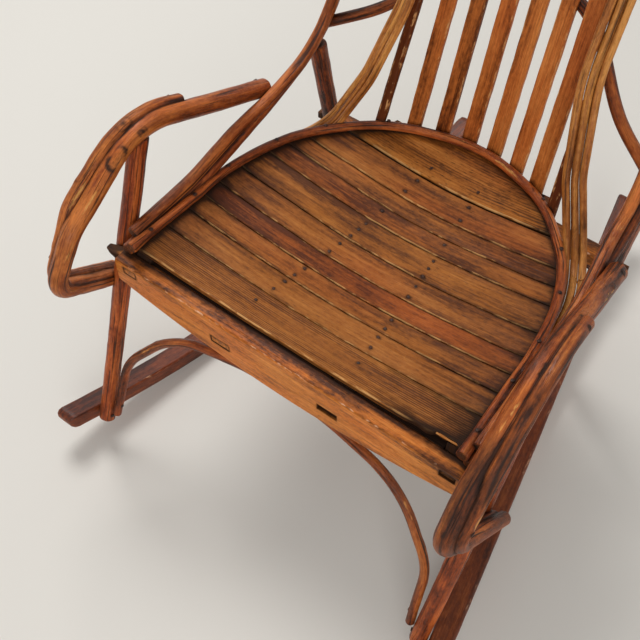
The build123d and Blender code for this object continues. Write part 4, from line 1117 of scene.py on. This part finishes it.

# ---- painted shade where pieces touch, and dirt round the nails
REACH = 6  # how far from another piece the painted shade starts
STAIN_REACH, STAIN_FADE = 9, 1.5
wooden = [piece for piece in pieces if not piece.name.endswith("nails_aged")]
shapes = []
for piece in wooden:
    co = points_of(piece.data)
    tree = BVHTree.FromPolygons(co.tolist(), faces_of(piece.data))
    shapes.append((piece, co, tree, co.min(axis=0) - REACH, co.max(axis=0) + REACH))
for piece, co, own_tree, low, high in shapes:
    darkening = np.zeros(len(co))
    for _, _, tree, low2, high2 in shapes:
        if tree is own_tree or (low2 > high).any() or (high2 < low).any():
            continue
        for k in np.nonzero(((co > low2) & (co < high2)).all(axis=1))[0]:
            far = tree.find_nearest(co[k], REACH)[3]
            if far is not None:
                darkening[k] = max(darkening[k], (1 - far / REACH) ** 1.4)
    if "bearer" in piece.name:
        darkening[co[:, 1] < RAIL_FRONT_Y + 4] = 0  # the tenons' ends get no painted shade
    share = 0.35 if piece.name.startswith(("seat_slat", "inner_hoop")) else 0.8
    stain = np.zeros(len(co))
    for core, radius in nail_tops:
        far = np.linalg.norm(co - core, axis=1) - radius
        stain = np.maximum(stain, np.exp(-np.maximum(far, 0) / STAIN_FADE) * (far < STAIN_REACH))
    paint = np.empty(len(co) * 3, np.float32)
    layer = piece.data.attributes["paint"].data
    layer.foreach_get("vector", paint)
    paint = paint.reshape(-1, 3)
    # painted shade where pieces touch, and dirt round the nails
    paint[:, 1] += share * darkening + 0.85 * stain
    paint[:, 0] *= 1 - 0.8 * np.minimum(darkening * share * 1.5 + stain, 1)
    layer.foreach_set("vector", paint.ravel())

# ---- floor, light and camera
floor = new_mesh("floor", [(-14, -14, 0), (14, -14, 0), (14, 14, 0), (-14, 14, 0)], [(0, 1, 2, 3)])
pale = Nodes(bpy.data.materials.new("pale_floor"))
pale.set({"Base Color": srgb(226, 222, 214), "Roughness": 0.8})
floor.data.materials.append(pale.owner)

world = bpy.data.worlds.new("studio")
bpy.context.scene.world = world
sky = Nodes(world, "Background")
rays = sky.node("LightPath").outputs
bright = rays["Is Camera Ray"]  # seen directly or in a reflection, the world is white
for ray in ("Is Glossy Ray", "Is Transmission Ray"):
    bright = sky.sums("MAXIMUM", bright, rays[ray])
strength = sky.node("MapRange", {"Value": bright, "To Min": 0.42, "To Max": 1}).outputs[0]
sky.set({"Color": (1, 1, 1, 1), "Strength": strength})


def lamp(name, place, target, size, power):
    data = bpy.data.lights.new(name, "AREA")
    data.shape, data.size, data.energy = "SQUARE", size, power
    made = new_object(name, data)
    made.location = place
    made.rotation_euler = (Vector(target) - Vector(place)).to_track_quat("-Z", "Y").to_euler()


SEAT_MIDDLE = (0, -0.1, 0.4)
lamp("key", (-1.5, 0.7, 2.9), SEAT_MIDDLE, 1.2, 52)
lamp("fill", (1.6, -2.8, 1.9), SEAT_MIDDLE, 2, 46)

data = bpy.data.cameras.new("camera")
camera = new_object("camera", data)
data.sensor_width, data.lens, data.clip_end = 36, 56.25, 60
right, up = Vector((0.8007, 0.599, 0)), Vector((-0.4877, 0.6519, 0.5807))
ahead = Vector((-0.3478, 0.4650, -0.8141))
turned = Matrix((right, up, -ahead)).transposed().to_4x4()
turned.translation = Vector((0.4340, -0.8095, 1.3751))
camera.matrix_world = turned
bpy.context.scene.camera = camera
bpy.context.scene.view_settings.view_transform = "Standard"
